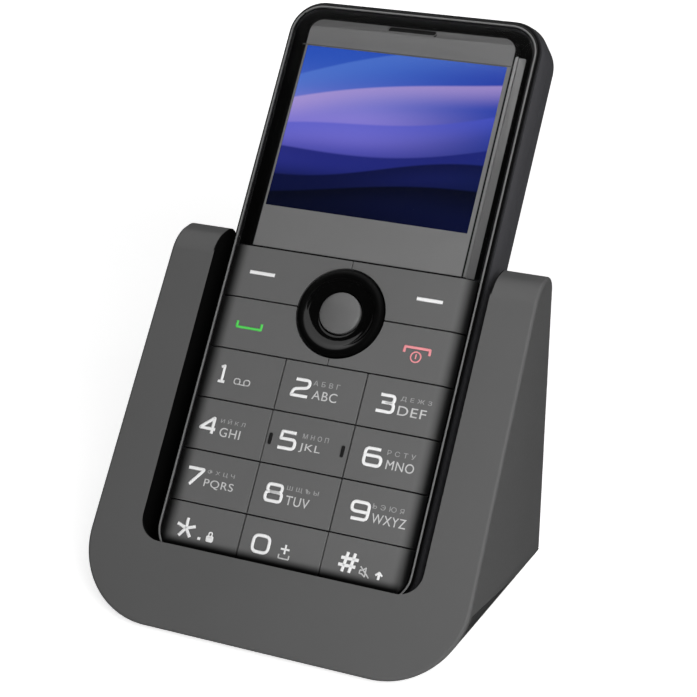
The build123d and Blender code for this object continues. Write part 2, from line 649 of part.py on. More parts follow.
def cradle_form(inset, bottom):
    """The cradle's outer form with its bottom at the given height, or the same form
    moved inwards by inset."""
    level, top = PLATE_W - inset, CRADLE_TOP_Z - inset
    section_w = level + SECTION_OUT
    low, high = half_width(bottom, inset), half_width(SECTION_TOP, inset)
    back_plane = Plane(origin=(0, back_y(SECTION_TOP) + SECTION_OUT, 0), x_dir=(1, 0, 0),
                       z_dir=(0, -1, 0))
    with BuildPart() as form:
        with BuildSketch(Plane.YZ):
            with BuildLine():
                Polyline((plate_y(bottom, level), bottom), (plate_y(top, level), top),
                         (back_y(top) - inset, top), (back_y(bottom) - inset, bottom), close=True)
            make_face()
            crown = vertices().group_by(Axis.Y)[-1].sort_by(Axis.X)
            fillet(crown[0], ROLL_R - inset)
            fillet(vertices().group_by(Axis.Y)[-1].sort_by(Axis.X)[-1], TOP_BACK_R - inset)
        extrude(amount=FAR, both=True)
        for plane, foot, head, radius in (
                (on_face(section_w), plate_v(bottom, section_w), plate_v(SECTION_TOP, section_w),
                 CORNER_FRONT_R - inset),
                (back_plane, bottom, SECTION_TOP, CORNER_BACK_R - min(inset, CORNER_BACK_R - 1))):
            with BuildSketch(plane):
                with BuildLine():
                    Polyline((-low, foot), (low, foot), (high, head), (-high, head), close=True)
                make_face()
                fillet(vertices().group_by(Axis.Y)[0], radius)
        loft(ruled=True, mode=Mode.INTERSECT)
    return form


def on_plate(edge):
    """True for an edge that lies in the front plate's outer plane."""
    return all(abs((edge @ t - ORIGIN).dot(OUT) - PLATE_W) < 0.01 for t in (0, 0.5, 1))


def on_back(edge):
    """True for an edge that lies in the cradle's back plane."""
    return all(abs((edge @ t).Y - back_y((edge @ t).Z)) < 0.01 for t in (0, 0.5, 1))


with BuildPart() as cradle_outer:
    add(cradle_form(0, PLATE_FOOT_Z).part)
    rim_edges = [edge for edge in cradle_outer.edges().filter_by(Axis.X, reverse=True)
                 if on_plate(edge) or on_back(edge) or (edge @ 0.5).Z > CRADLE_TOP_Z - ROLL_R]
    fillet(rim_edges, EDGE_R)


def behind_seam(gap):
    """Everything below the seam and behind the front plate's lip, as a prism."""
    level, high = PLATE_W - SEAM_BEHIND - gap, SEAM_Z - min(gap, SEAM_GAP)
    with BuildPart() as prism:
        with BuildSketch(Plane.YZ):
            with BuildLine():
                Polyline((plate_y(BELOW, level), BELOW), (plate_y(high, level), high),
                         (FAR, high), (FAR, BELOW), close=True)
            make_face()
        extrude(amount=FAR, both=True)
    return prism


SKIRT_LEVEL, LIP_LEVEL, SKIRT_ROOT = PLATE_W - SKIRT_BEHIND, PLATE_W - SEAM_BEHIND, 1.0


def skirt(gap, wall):
    """The part of both side walls that belongs to the base, smaller all round by gap and as
    thick as wall. It starts SKIRT_ROOT below the seam, inside the base."""
    root = SEAM_Z - SKIRT_ROOT
    with BuildPart() as walls:
        with BuildSketch(Plane.YZ):
            with BuildLine():
                Polyline((plate_y(SEAM_Z + gap, SKIRT_LEVEL - gap), SEAM_Z + gap),
                         (plate_y(SKIRT_Z - gap, SKIRT_LEVEL - gap), SKIRT_Z - gap),
                         (SKIRT_END_Y, SEAM_Z - gap), (SKIRT_END_Y, root),
                         (plate_y(root, LIP_LEVEL - gap), root),
                         (plate_y(SEAM_Z + gap, LIP_LEVEL - gap), SEAM_Z + gap), close=True)
            make_face()
        extrude(amount=FAR, both=True)
        add(cradle_form(wall, PLATE_FOOT_Z).part, mode=Mode.SUBTRACT)
    return walls


POCKET_FLOOR, POCKET_BACK, POCKET_BACK_R = BODY_BOTTOM - PHONE_GAP, -PHONE_T - LIP_W, 3.5


def pocket(grow):
    """The room the phone stands in, with every wall moved outwards by grow."""
    with BuildPart() as room:
        with BuildSketch(SIDE):
            with Locations((POCKET_FLOOR - grow, POCKET_BACK - grow)):
                Rectangle(FAR, LIP_W + grow - POCKET_BACK + grow, align=(Align.MIN, Align.MIN))
            fillet(vertices().group_by(Axis.X)[0].sort_by(Axis.Y)[0], POCKET_BACK_R + grow)
        extrude(amount=POCKET_HALF + grow, both=True)
        with BuildSketch(on_face(-FAR)):
            with Locations((0, POCKET_FLOOR - grow)):
                Rectangle(2 * (POCKET_HALF + grow), FAR, align=(Align.CENTER, Align.MIN))
            fillet(vertices().group_by(Axis.Y)[0], POCKET_R + grow)
        extrude(amount=2 * FAR, mode=Mode.INTERSECT)
    return room


with BuildPart() as opening:
    with BuildSketch(FACE):
        with Locations((0, OPENING_BOTTOM)):
            Rectangle(2 * POCKET_HALF, FAR, align=(Align.CENTER, Align.MIN))
        fillet(vertices().group_by(Axis.Y)[0], OPENING_R)
    extrude(amount=FAR)

# ---------------------------------------------------------------- cradle: shell and base
BASE_SCREWS = [(-17, -37.5), (17, -37.5), (-26, 2.9), (26, 2.9)]
FEET = [(-17, -37.5), (17, -37.5), (-26, 0.7), (26, 0.7)]
POST_R, BASE_SCREW_R, BASE_HEAD_R, BASE_HEAD_H, BASE_SCREW_TOP = 3.2, 1.0, 2.0, 1.1, 7.2
HEAD_TOP_Z, BASE_POST_R = 2.6, 3.2
POWER_Z, POWER_W, POWER_H, POWER_L = 11.2, 8.0, 3.0, 7.0
POWER_MOUTH_Y = back_y(POWER_Z) - 0.3
PIN_HOLE_R, SKIRT_ROOM = 0.95, 0.3

with BuildPart() as cradle_hollow:
    add(cradle_form(CRADLE_WALL, PLATE_FOOT_Z - 3).part)
    add(pocket(POCKET_WALL).part, mode=Mode.SUBTRACT)
    with BuildSketch(Plane.YZ):
        with BuildLine():
            Polyline((-FAR, BELOW), (-FAR, SEAM_Z), (plate_y(SEAM_Z, LIP_LEVEL), SEAM_Z),
                     (plate_y(BELOW, LIP_LEVEL), BELOW), close=True)
        make_face()
    extrude(amount=FAR, both=True, mode=Mode.SUBTRACT)
    with BuildSketch(Plane.XY.offset(SEAM_Z)):
        with Locations(*BASE_SCREWS):
            Circle(POST_R)
    extrude(amount=FACE_Z, mode=Mode.SUBTRACT)

with BuildPart() as cradle_shell:
    add(cradle_outer.part)
    add(cradle_hollow.part, mode=Mode.SUBTRACT)
    add(behind_seam(0).part, mode=Mode.SUBTRACT)
    add(skirt(0, CRADLE_WALL + SKIRT_ROOM).part, mode=Mode.SUBTRACT)
    add(pocket(0).part, mode=Mode.SUBTRACT)
    add(opening.part, mode=Mode.SUBTRACT)
    with BuildSketch(Plane.XY):
        with Locations(*BASE_SCREWS):
            Circle(BASE_SCREW_R + 0.05)
    extrude(amount=BASE_SCREW_TOP + 0.2, mode=Mode.SUBTRACT)
    with BuildSketch(across(POCKET_FLOOR + 1)):
        with Locations((-PIN_X, PIN_W), (PIN_X, PIN_W)):
            Circle(PIN_HOLE_R)
    extrude(amount=POCKET_WALL + 2, mode=Mode.SUBTRACT)
    with BuildSketch(Plane.XZ.offset(-POWER_MOUTH_Y - 1)):
        with Locations((0, POWER_Z)):
            RectangleRounded(POWER_W + 0.3, POWER_H + 0.3, 1.2)
    extrude(amount=CRADLE_WALL + 2, mode=Mode.SUBTRACT)
save(cradle_shell, "cradle_shell")

BASE_RIM, PLINTH_FRONT, PLINTH_BACK, TROUGH_GAP = 2.0, -43.1, 5.7, 0.15
PLINTH_HALF_FRONT, PLINTH_HALF_BACK, PILLAR_R = 22.0, 35.0, 2.2
PILLARS, BOARD_Z = [(-20, 2.3), (20, 2.3)], 7.8
with BuildPart() as base_hollow:
    add(cradle_form(CRADLE_WALL, PLATE_FOOT_Z).part)
    add(behind_seam(SEAM_GAP + BASE_RIM).part, mode=Mode.INTERSECT)
    with BuildSketch(Plane.XY.offset(-FAR)):
        Rectangle(FAR, FAR)
    extrude(amount=FAR + BASE_FLOOR_Z, mode=Mode.SUBTRACT)

with BuildPart() as base_skirt:
    add(cradle_form(0, PLATE_FOOT_Z).part)
    add(skirt(SEAM_GAP, CRADLE_WALL).part, mode=Mode.INTERSECT)

with BuildPart() as cradle_base:
    add(cradle_form(0, PLATE_FOOT_Z).part)
    add(behind_seam(SEAM_GAP).part, mode=Mode.INTERSECT)
    with BuildSketch(Plane.XY.offset(BASE_FLOOR_Z)):
        with Locations(*BASE_SCREWS):
            Circle(BASE_POST_R)
    posts = extrude(amount=SEAM_Z - SEAM_GAP - BASE_FLOOR_Z, mode=Mode.PRIVATE)
    with BuildSketch(Plane.XY.offset(BASE_FLOOR_Z)):
        with Locations(*PILLARS):
            Circle(PILLAR_R)
    pillars = extrude(amount=BOARD_Z - BASE_FLOOR_Z, mode=Mode.PRIVATE)
    add(base_hollow.part, mode=Mode.SUBTRACT)
    add(base_skirt.part)
    add(posts)
    add(pillars)
    with BuildSketch(Plane.XY.offset(BASE_Z)):
        with BuildLine():
            Polyline((-PLINTH_HALF_FRONT, PLINTH_FRONT), (PLINTH_HALF_FRONT, PLINTH_FRONT),
                     (PLINTH_HALF_BACK, PLINTH_BACK), (-PLINTH_HALF_BACK, PLINTH_BACK), close=True)
        make_face()
        fillet(vertices(), 3)
    extrude(amount=PLATE_FOOT_Z - BASE_Z)
    add(pocket(POCKET_WALL + TROUGH_GAP).part, mode=Mode.SUBTRACT)
    with BuildSketch(Plane.XY.offset(BASE_Z)):
        with Locations(*FEET):
            Circle(FOOT_R)
    extrude(amount=FOOT_RECESS, mode=Mode.SUBTRACT)
    with BuildSketch(Plane.XY.offset(BASE_Z)):
        with Locations(*BASE_SCREWS):
            Circle(BASE_HEAD_R + 0.2)
    extrude(amount=HEAD_TOP_Z - BASE_Z, mode=Mode.SUBTRACT)
    with BuildSketch(Plane.XY.offset(BASE_Z)):
        with Locations(*BASE_SCREWS):
            Circle(BASE_SCREW_R + 0.1)
    extrude(amount=SEAM_Z, mode=Mode.SUBTRACT)
save(cradle_base, "cradle_base")

with BuildPart() as cradle_screws:
    with BuildSketch(Plane.XY.offset(HEAD_TOP_Z)):
        with Locations(*BASE_SCREWS):
            Circle(BASE_HEAD_R)
    extrude(amount=-BASE_HEAD_H)
    with BuildSketch(Plane.XY.offset(HEAD_TOP_Z)):
        with Locations(*BASE_SCREWS):
            Circle(BASE_SCREW_R)
    extrude(amount=BASE_SCREW_TOP - HEAD_TOP_Z)
    with BuildSketch(Plane.XY.offset(HEAD_TOP_Z - BASE_HEAD_H)):
        with Locations(*BASE_SCREWS):
            Rectangle(2.4, 0.6)
            Rectangle(0.6, 2.4)
    extrude(amount=0.7, mode=Mode.SUBTRACT)
save(cradle_screws, "cradle_screws")

with BuildPart() as cradle_feet:
    with BuildSketch(Plane.XY):
        with Locations(*FEET):
            Circle(FOOT_R - 0.05)
    extrude(amount=BASE_Z + FOOT_RECESS)
    fillet(cradle_feet.edges().group_by(Axis.Z)[0], 0.3)
save(cradle_feet, "cradle_feet")

# ---------------------------------------------------------------- cradle: what it holds
BALLAST_X, BALLAST_Y, BALLAST_T = 58.0, (-20.5, -2.5), 5.0
with BuildPart() as cradle_ballast:
    with BuildSketch(Plane.XY.offset(BASE_FLOOR_Z)):
        with Locations((0, sum(BALLAST_Y) / 2)):
            RectangleRounded(BALLAST_X, BALLAST_Y[1] - BALLAST_Y[0], 1.5)
    extrude(amount=BALLAST_T)
save(cradle_ballast, "cradle_ballast")

CRADLE_BOARD_X, CRADLE_BOARD_Y, CRADLE_BOARD_T = 44.0, (-16.3, 5.2), 1.4
with BuildPart() as cradle_board:
    with BuildSketch(Plane.XY.offset(BOARD_Z)):
        with Locations((0, sum(CRADLE_BOARD_Y) / 2)):
            RectangleRounded(CRADLE_BOARD_X, CRADLE_BOARD_Y[1] - CRADLE_BOARD_Y[0], 1)
    extrude(amount=CRADLE_BOARD_T)
    # regulator, inductor and two capacitors
    with BuildSketch(Plane.XY.offset(BOARD_Z + CRADLE_BOARD_T)):
        with Locations((-12, -7)):
            Rectangle(6, 5)
        with Locations((-2, -9)):
            RectangleRounded(5, 5, 1)
        with Locations((10, -9), (17, -9)):
            Circle(2.2)
    extrude(amount=1.6)
save(cradle_board, "cradle_board")

with BuildPart() as cradle_usb_socket:
    with BuildSketch(Plane.XZ.offset(-POWER_MOUTH_Y)):
        with Locations((0, POWER_Z)):
            RectangleRounded(POWER_W, POWER_H, 1.1)
    extrude(amount=POWER_L)
    with BuildSketch(Plane.XZ.offset(-POWER_MOUTH_Y)):
        with Locations((0, POWER_Z)):
            RectangleRounded(POWER_W - 0.7, POWER_H - 0.7, 0.8)
            Rectangle(POWER_W - 2.4, 0.7, mode=Mode.SUBTRACT)
    extrude(amount=POWER_L - 1, mode=Mode.SUBTRACT)
    with BuildSketch(Plane.XY.offset(BOARD_Z + CRADLE_BOARD_T)):
        with Locations((0, POWER_MOUTH_Y - POWER_L / 2 - 1.5)):
            Rectangle(POWER_W, POWER_L - 2)
    extrude(amount=POWER_Z - POWER_H / 2 - BOARD_Z - CRADLE_BOARD_T + 0.3)
save(cradle_usb_socket, "cradle_usb_socket")

# sprung contacts under the pocket's floor
BLOCK_X, BLOCK_LOW_W, BLOCK_HIGH_W, BLOCK_L = 24.0, -7.0, -2.0, 3.85
BARREL_R, BARREL_WALL, BARREL_L, COLLAR_R, COLLAR_L = 1.3, 0.24, 3.65, 1.0, 1.0
BLOCK_TOP = POCKET_FLOOR - POCKET_WALL - 0.05
PIN_TIP = -78.13
with BuildPart() as contact_block:
    with BuildSketch(across(BLOCK_TOP)):
        with Locations((0, (BLOCK_LOW_W + BLOCK_HIGH_W) / 2)):
            Rectangle(BLOCK_X, BLOCK_HIGH_W - BLOCK_LOW_W)
        with Locations((-PIN_X, PIN_W), (PIN_X, PIN_W)):
            Circle(BARREL_R + 0.02, mode=Mode.SUBTRACT)
    extrude(amount=BLOCK_L)
save(contact_block, "contact_block")

with BuildPart() as contact_barrels:
    with BuildSketch(across(BLOCK_TOP)):
        with Locations((-PIN_X, PIN_W), (PIN_X, PIN_W)):
            Circle(BARREL_R)
    extrude(amount=BARREL_L)
    with BuildSketch(across(BLOCK_TOP + 1)):
        with Locations((-PIN_X, PIN_W), (PIN_X, PIN_W)):
            Circle(PIN_R + 0.06)
    extrude(amount=2, mode=Mode.SUBTRACT)
    with BuildSketch(across(BLOCK_TOP - 0.3)):
        with Locations((-PIN_X, PIN_W), (PIN_X, PIN_W)):
            Circle(BARREL_R - BARREL_WALL)
    extrude(amount=BARREL_L - 0.6, mode=Mode.SUBTRACT)
save(contact_barrels, "contact_barrels")

for name, side in (("contact_pin_left", -1), ("contact_pin_right", 1)):
    with BuildPart() as contact_pin:
        with BuildSketch(across(PIN_TIP)):
            with Locations((side * PIN_X, PIN_W)):
                Circle(PIN_R)
        extrude(amount=PIN_TIP - BLOCK_TOP + 0.35 + COLLAR_L)
        with BuildSketch(across(BLOCK_TOP - 0.35)):
            with Locations((side * PIN_X, PIN_W)):
                Circle(COLLAR_R)
        extrude(amount=COLLAR_L)
        fillet(contact_pin.edges().filter_by(GeomType.CIRCLE).sort_by(Axis(ORIGIN, ALONG))[-1], 0.4)
    save(contact_pin, name)
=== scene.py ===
# %% [markdown]
# # A bar phone in its desk charging cradle
# The solids of the phone and its cradle are already finished and stand at their real size. This
# lesson dresses them: it lights them, softens their moulded edges, gives every surface its finish
# and prints the marks on the keys. Every length is in metres unless a name ends in mm.

from math import cos, radians, sin, sqrt

import bpy
from mathutils import Matrix, Vector


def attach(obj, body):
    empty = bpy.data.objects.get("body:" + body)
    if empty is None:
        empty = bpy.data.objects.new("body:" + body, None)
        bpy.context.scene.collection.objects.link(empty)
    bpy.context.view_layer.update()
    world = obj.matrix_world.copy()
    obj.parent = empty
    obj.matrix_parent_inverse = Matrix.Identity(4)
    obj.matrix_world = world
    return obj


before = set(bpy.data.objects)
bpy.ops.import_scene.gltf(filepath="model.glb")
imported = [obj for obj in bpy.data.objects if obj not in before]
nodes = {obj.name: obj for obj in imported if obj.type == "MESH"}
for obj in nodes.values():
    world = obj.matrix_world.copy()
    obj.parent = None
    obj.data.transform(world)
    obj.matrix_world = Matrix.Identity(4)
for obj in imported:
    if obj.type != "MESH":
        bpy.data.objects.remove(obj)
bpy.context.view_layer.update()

# %% [markdown]
# The phone leans back in the cradle, so it is easiest to work in its own axes: u runs across the
# face, v runs up it from the display's lower edge, and w comes out of it. A small helper turns a
# place on the phone, in millimetres, into a place over the table.

# %% The phone's own axes
MM = 0.001
LEAN = radians(38.5)
ORIGIN = Vector((0.0, 8.4, 73.3)) * MM
ACROSS = Vector((1.0, 0.0, 0.0))
ALONG = Vector((0.0, sin(LEAN), cos(LEAN)))
OUT = Vector((0.0, -cos(LEAN), sin(LEAN)))


def at(u, v, w):
    """A place on the phone, in millimetres, as a place over the table."""
    return ORIGIN + (ACROSS * u + ALONG * v + OUT * w) * MM


print("display's lower edge is", round(at(0, 0, 0).z / MM, 1), "mm over the table")

# %% [markdown]
# A product shot of a small thing is taken from some way off with a long lens, so that its
# edges stay nearly parallel. The camera is placed by its distance from the display and turned
# with three axes of its own: right, up and backwards.

# %% Camera
IMAGE_WIDTH_PX, FOCAL_PX, SENSOR_MM = 697.0, 1776.8, 36.0
camera_place = at(127.982, -100.054, 333.369)
view_dir = Vector((-0.3426, 0.8421, -0.4165)).normalized()
view_up = Vector((-0.161, 0.3842, 0.9091))
view_right = view_dir.cross(view_up).normalized()
view_up = view_right.cross(view_dir).normalized()

bpy.ops.object.select_all(action="DESELECT")
bpy.ops.object.camera_add(location=camera_place)
camera = bpy.context.object
camera.name = "camera"
camera.rotation_mode = "QUATERNION"
camera.rotation_quaternion = Matrix((view_right, view_up, -view_dir)).transposed().to_quaternion()
camera.data.sensor_width = SENSOR_MM
camera.data.lens = FOCAL_PX / IMAGE_WIDTH_PX * SENSOR_MM
camera.data.clip_start, camera.data.clip_end = 0.01, 20.0
bpy.context.scene.camera = camera
bpy.context.scene.view_settings.view_transform = "Standard"
print("lens", round(camera.data.lens, 1), "mm")

# %% [markdown]
# Materials are built from nodes. A few short helpers keep the recipes readable: one starts a
# material, one adds a node, and the others do sums, mixes and ramps.

# %% Helpers for materials


def paint(red, green=None, blue=None):
    """A colour given as screen values from 0 to 255, as the linear colour that a shader takes."""
    values = (red, red if green is None else green, red if blue is None else blue)
    linear = [((value / 255 + 0.055) / 1.055) ** 2.4 if value > 10.3 else value / 255 / 12.92
              for value in values]
    return (*linear, 1.0)


def new_material(name):
    """A fresh material with one Principled shader: the material, its tree and the shader."""
    material = bpy.data.materials.new(name)
    material.use_nodes = True
    return material, material.node_tree, material.node_tree.nodes["Principled BSDF"]


def add_node(tree, kind, **settings):
    """A node of one kind with its settings made."""
    item = tree.nodes.new(kind)
    for key, value in settings.items():
        setattr(item, key, value)
    return item


def plug(tree, socket, value):
    """Links a socket to another, or sets it to a plain value."""
    if isinstance(value, bpy.types.NodeSocket):
        tree.links.new(value, socket)
    else:
        socket.default_value = value


def sums(tree, operation, *values):
    """One Math node."""
    item = add_node(tree, "ShaderNodeMath", operation=operation)
    for socket, value in zip(item.inputs, values):
        plug(tree, socket, value)
    return item.outputs[0]


def off_centre(tree, across, up):
    """The distance from the place where both coordinates are 0."""
    return sums(tree, "SQRT", sums(tree, "ADD", sums(tree, "MULTIPLY", across, across),
                                   sums(tree, "MULTIPLY", up, up)))


def blend_colours(tree, share, first, second):
    """first where share is 0, second where share is 1."""
    item = add_node(tree, "ShaderNodeMix", data_type="RGBA", clamp_factor=True)
    plug(tree, item.inputs[0], share)
    plug(tree, item.inputs[6], first)
    plug(tree, item.inputs[7], second)
    return item.outputs[2]


def step_up(tree, value, low, high, smooth=True):
    """0 below low, 1 above high, and an even or smooth rise between them."""
    item = add_node(tree, "ShaderNodeMapRange",
                    interpolation_type="SMOOTHSTEP" if smooth else "LINEAR")
    plug(tree, item.inputs["Value"], value)
    for key, number in (("From Min", low), ("From Max", high)):
        plug(tree, item.inputs[key], number)
    return item.outputs["Result"]


def phone_axes(tree):
    """u, v and w of the shaded point, in millimetres."""
    place = add_node(tree, "ShaderNodeTexCoord").outputs["Object"]
    moved = add_node(tree, "ShaderNodeVectorMath", operation="SUBTRACT")
    plug(tree, moved.inputs[0], place)
    moved.inputs[1].default_value = ORIGIN
    found = []
    for axis in (ACROSS, ALONG, OUT):
        item = add_node(tree, "ShaderNodeVectorMath", operation="DOT_PRODUCT")
        plug(tree, item.inputs[0], moved.outputs[0])
        item.inputs[1].default_value = axis / MM
        found.append(item.outputs["Value"])
    return found


def noise(tree, scale, detail, roughness=0.5):
    """Cloudy noise from 0 to 1; scale is in features per metre."""
    place = add_node(tree, "ShaderNodeTexCoord").outputs["Object"]
    item = add_node(tree, "ShaderNodeTexNoise")
    plug(tree, item.inputs["Vector"], place)
    item.inputs["Scale"].default_value = scale
    item.inputs["Detail"].default_value = detail
    item.inputs["Roughness"].default_value = roughness
    return item.outputs[0]


def bumpy(tree, shader, height, relief):
    """Gives a shader a small relief, its height in metres."""
    item = add_node(tree, "ShaderNodeBump")
    item.inputs["Strength"].default_value = 1.0
    item.inputs["Distance"].default_value = relief
    plug(tree, item.inputs["Height"], height)
    plug(tree, shader.inputs["Normal"], item.outputs[0])


def cloudy(tree, colour, scale, spread):
    """A colour that wanders over the surface between a darker and a lighter tone."""
    darker = tuple(part * (1 - spread) for part in colour[:3]) + (1.0,)
    lighter = tuple(part * (1 + spread) for part in colour[:3]) + (1.0,)
    return blend_colours(tree, noise(tree, scale, 3.0), darker, lighter)


def moulded(name, colour, roughness, specular=0.5, relief=0.00001, spread=0.12, metallic=0.0):
    """A moulded or stamped surface: cloudy colour, uneven gloss and a fine skin."""
    material, tree, shader = new_material(name)
    plug(tree, shader.inputs["Base Color"], cloudy(tree, colour, 60.0, spread))
    skin = noise(tree, 900.0, 4.0, 0.6)
    plug(tree, shader.inputs["Roughness"],
         sums(tree, "MULTIPLY_ADD", skin, roughness * 0.3, roughness * 0.85))
    bumpy(tree, shader, skin, relief)
    shader.inputs["Specular IOR Level"].default_value = specular
    shader.inputs["Metallic"].default_value = metallic
    return material


# %% [markdown]
# The studio is a pale floor under an even white room. A white surround is bright enough to turn
# dark plastic grey if it also lit the object, so the world shows white only to rays that are seen
# directly, mirrored or passed through glass, and lights the object more weakly.

# %% Floor and room
FLOOR_SIZE = 6.0
SEEN_WHITE, ROOM_LIGHT, FLOOR_GLOW = 1.0, 0.32, 0.72


def seen_rays(tree):
    """1 for rays that are seen directly, mirrored or passed through glass."""
    rays = add_node(tree, "ShaderNodeLightPath").outputs
    seen = sums(tree, "MAXIMUM", rays["Is Camera Ray"], rays["Is Glossy Ray"])
    return sums(tree, "MAXIMUM", seen, rays["Is Transmission Ray"])


bpy.ops.object.select_all(action="DESELECT")
bpy.ops.mesh.primitive_plane_add(size=FLOOR_SIZE, location=(0, 0, 0))
floor = bpy.context.object
floor.name = "floor"
floor_paint, tree, shader = new_material("floor_white")
shader.inputs["Base Color"].default_value = (0.86, 0.86, 0.86, 1.0)
shader.inputs["Roughness"].default_value = 0.9
shader.inputs["Specular IOR Level"].default_value = 0.0
glow = add_node(tree, "ShaderNodeEmission")
plug(tree, glow.inputs["Strength"], sums(tree, "MULTIPLY", seen_rays(tree), FLOOR_GLOW))
both = add_node(tree, "ShaderNodeAddShader")
plug(tree, both.inputs[0], shader.outputs[0])
plug(tree, both.inputs[1], glow.outputs[0])
plug(tree, tree.nodes["Material Output"].inputs["Surface"], both.outputs[0])
floor.data.materials.append(floor_paint)

world = bpy.data.worlds.new("white_room")
bpy.context.scene.world = world
world.use_nodes = True
tree = world.node_tree
surround = tree.nodes["Background"]
surround.inputs["Color"].default_value = (1.0, 1.0, 1.0, 1.0)
plug(tree, surround.inputs["Strength"],
     sums(tree, "MULTIPLY_ADD", seen_rays(tree), SEEN_WHITE - ROOM_LIGHT, ROOM_LIGHT))
print("room light", ROOM_LIGHT)

# %% [markdown]
# Glossy black shows whatever stands opposite, and here that would be the white room. As in any
# product studio, dark boards stand round the object: one hangs where the leaning face mirrors it,
# the others stand in front, behind and at both sides, and a dark cloth lies round it, where the
# side walls mirror it. They throw no shadow. Only mirrors see them, but the board over the face
# also takes away some light, and one straight above does only that. Over the upper edge of the
# board for the face the white room shows, as a pale crescent in the navigation ring's dish.

# %% Dark boards and cloth


def studio_card(name, place, way, width, height, turn_up, tone, dims_light):
    """A flat dark board at a place, facing the object, that the camera itself doesn't see."""
    way = Vector(way).normalized()
    bpy.ops.object.select_all(action="DESELECT")
    bpy.ops.mesh.primitive_plane_add(size=1.0, location=place)
    card = bpy.context.object
    card.name = name
    side = Vector(turn_up).cross(way).normalized()
    card.rotation_mode = "QUATERNION"
    card.rotation_quaternion = Matrix((side, way.cross(side), way)).transposed().to_quaternion()
    card.scale = (width, height, 1.0)
    finish, tree, shader = new_material(name + "_felt")
    shader.inputs["Base Color"].default_value = paint(tone)
    shader.inputs["Roughness"].default_value = 1.0
    shader.inputs["Specular IOR Level"].default_value = 0.0
    card.data.materials.append(finish)
    card.visible_camera = card.visible_shadow = card.visible_transmission = False
    card.visible_diffuse = dims_light
    return card


MIDDLE = at(0, -10, 0)
MATT_BLACK, CHARCOAL, DARK_GREY, MID_GREY = 14, 50, 60, 90
BOARD_REACH, CRESCENT_SHIFT = 0.60, 0.19
FACE_MIRROR = Vector((-0.343, -0.600, 0.723))    # where the leaning face mirrors the view
ABOVE = Vector((-0.343, 0.357, 0.870))
studio_card("board_over_face", MIDDLE + FACE_MIRROR * BOARD_REACH - ALONG * CRESCENT_SHIFT,
            FACE_MIRROR, 1.5, 0.66, ALONG, MATT_BLACK, True)
dimmer = studio_card("board_above", MIDDLE + ABOVE * BOARD_REACH, ABOVE, 1.5, 0.62, (0, 1, 0),
                     MATT_BLACK, True)
dimmer.visible_glossy = False
for name, place, way, width, height, tone in (
        ("board_front", (-0.1, -1.0, 0.45), (0, 1, 0), 2.4, 1.0, MATT_BLACK),
        ("board_left", (-1.0, 0.0, 0.5), (1, 0, 0), 2.2, 1.1, MATT_BLACK),
        ("board_right", (1.0, -0.1, 0.5), (-1, 0, 0), 2.0, 1.1, DARK_GREY),
        ("board_behind", (0.2, 1.15, 0.45), (0, -1, 0), 3.0, 1.0, MID_GREY)):
    studio_card(name, place, way, width, height, (0, 0, 1), tone, False)
studio_card("cloth_round_it", (0.2, 0.05, 0.0006), (0, 0, 1), 2.4, 2.3, (0, 1, 0), CHARCOAL,
            False)

# %% [markdown]
# Three soft lamps shape the object: a main one in front and a little to the right, near enough to
# make the right half of the cradle's plate lighter, a weak one that opens the right side, and one
# for the back. Only their light is wanted, so mirrors don't see them.

# %% Lamps
CRADLE_MIDDLE = Vector((0.0, 0.0, 0.05))


def soft_lamp(name, place, size, watts):
    """A square area lamp that looks at the cradle's middle."""
    bpy.ops.object.select_all(action="DESELECT")
    bpy.ops.object.light_add(type="AREA", location=place)
    lamp = bpy.context.object
    lamp.name = name
    lamp.data.size = size
    lamp.data.energy = watts
    direction = CRADLE_MIDDLE - Vector(place)
    lamp.rotation_mode = "QUATERNION"
    lamp.rotation_quaternion = direction.to_track_quat("-Z", "Y")
    lamp.visible_camera = lamp.visible_glossy = False


soft_lamp("lamp_front", (0.17, -0.24, 0.22), 0.2, 1.12)
soft_lamp("lamp_side", (1.1, 0.15, 0.45), 0.5, 0.3)
soft_lamp("lamp_back", (-0.35, 0.90, 0.15), 0.3, 3.6)

# %% [markdown]
# Moulded parts never have knife edges. The solids come as loose triangles, so each one that shows
# is welded, its flat faces are joined, its edges get a tiny round, and its normals are weighted by
# area so that flat faces stay flat in the light. All of it is done with modifiers that stay live,
# because a solid's own points are never changed.

# %% Soften the solids
SAME_POINT_MM, FLAT_WITHIN, EDGE_ABOVE = 0.002, radians(0.4), radians(28.0)


def soften(name, width_mm):
    """Tiny rounds on a solid's edges, and clean shading."""
    item = nodes[name]
    for face in item.data.polygons:
        face.use_smooth = True
    weld = item.modifiers.new("weld", "WELD")
    weld.merge_threshold = SAME_POINT_MM * MM
    flat = item.modifiers.new("flat", "DECIMATE")
    flat.decimate_type = "DISSOLVE"
    flat.angle_limit = FLAT_WITHIN
    if width_mm:
        bevel = item.modifiers.new("round", "BEVEL")
        bevel.width = width_mm * MM
        bevel.segments = 2
        bevel.limit_method = "ANGLE"
        bevel.angle_limit = EDGE_ABOVE
        bevel.harden_normals = False
    normals = item.modifiers.new("shade", "WEIGHTED_NORMAL")
    normals.keep_sharp = True
    normals.weight = 100


KEYS = ["soft_key_left", "soft_key_right", "send_key", "end_key", "key_1", "key_2", "key_3",
        "key_4", "key_5", "key_6", "key_7", "key_8", "key_9", "key_star", "key_0", "key_hash"]
for key in KEYS:
    soften(key, 0.12)
for name, width in (("lens", 0.12), ("nav_ring", 0.05), ("ok_key", 0.05), ("rim_trim", 0.0),
                    ("front_frame", 0.1), ("back_cover", 0.1), ("cradle_shell", 0.35),
                    ("cradle_base", 0.2), ("lens_print", 0.0), ("display_panel", 0.0)):
    soften(name, width)
for name in sorted(nodes):
    if not nodes[name].modifiers:
        soften(name, 0.0)

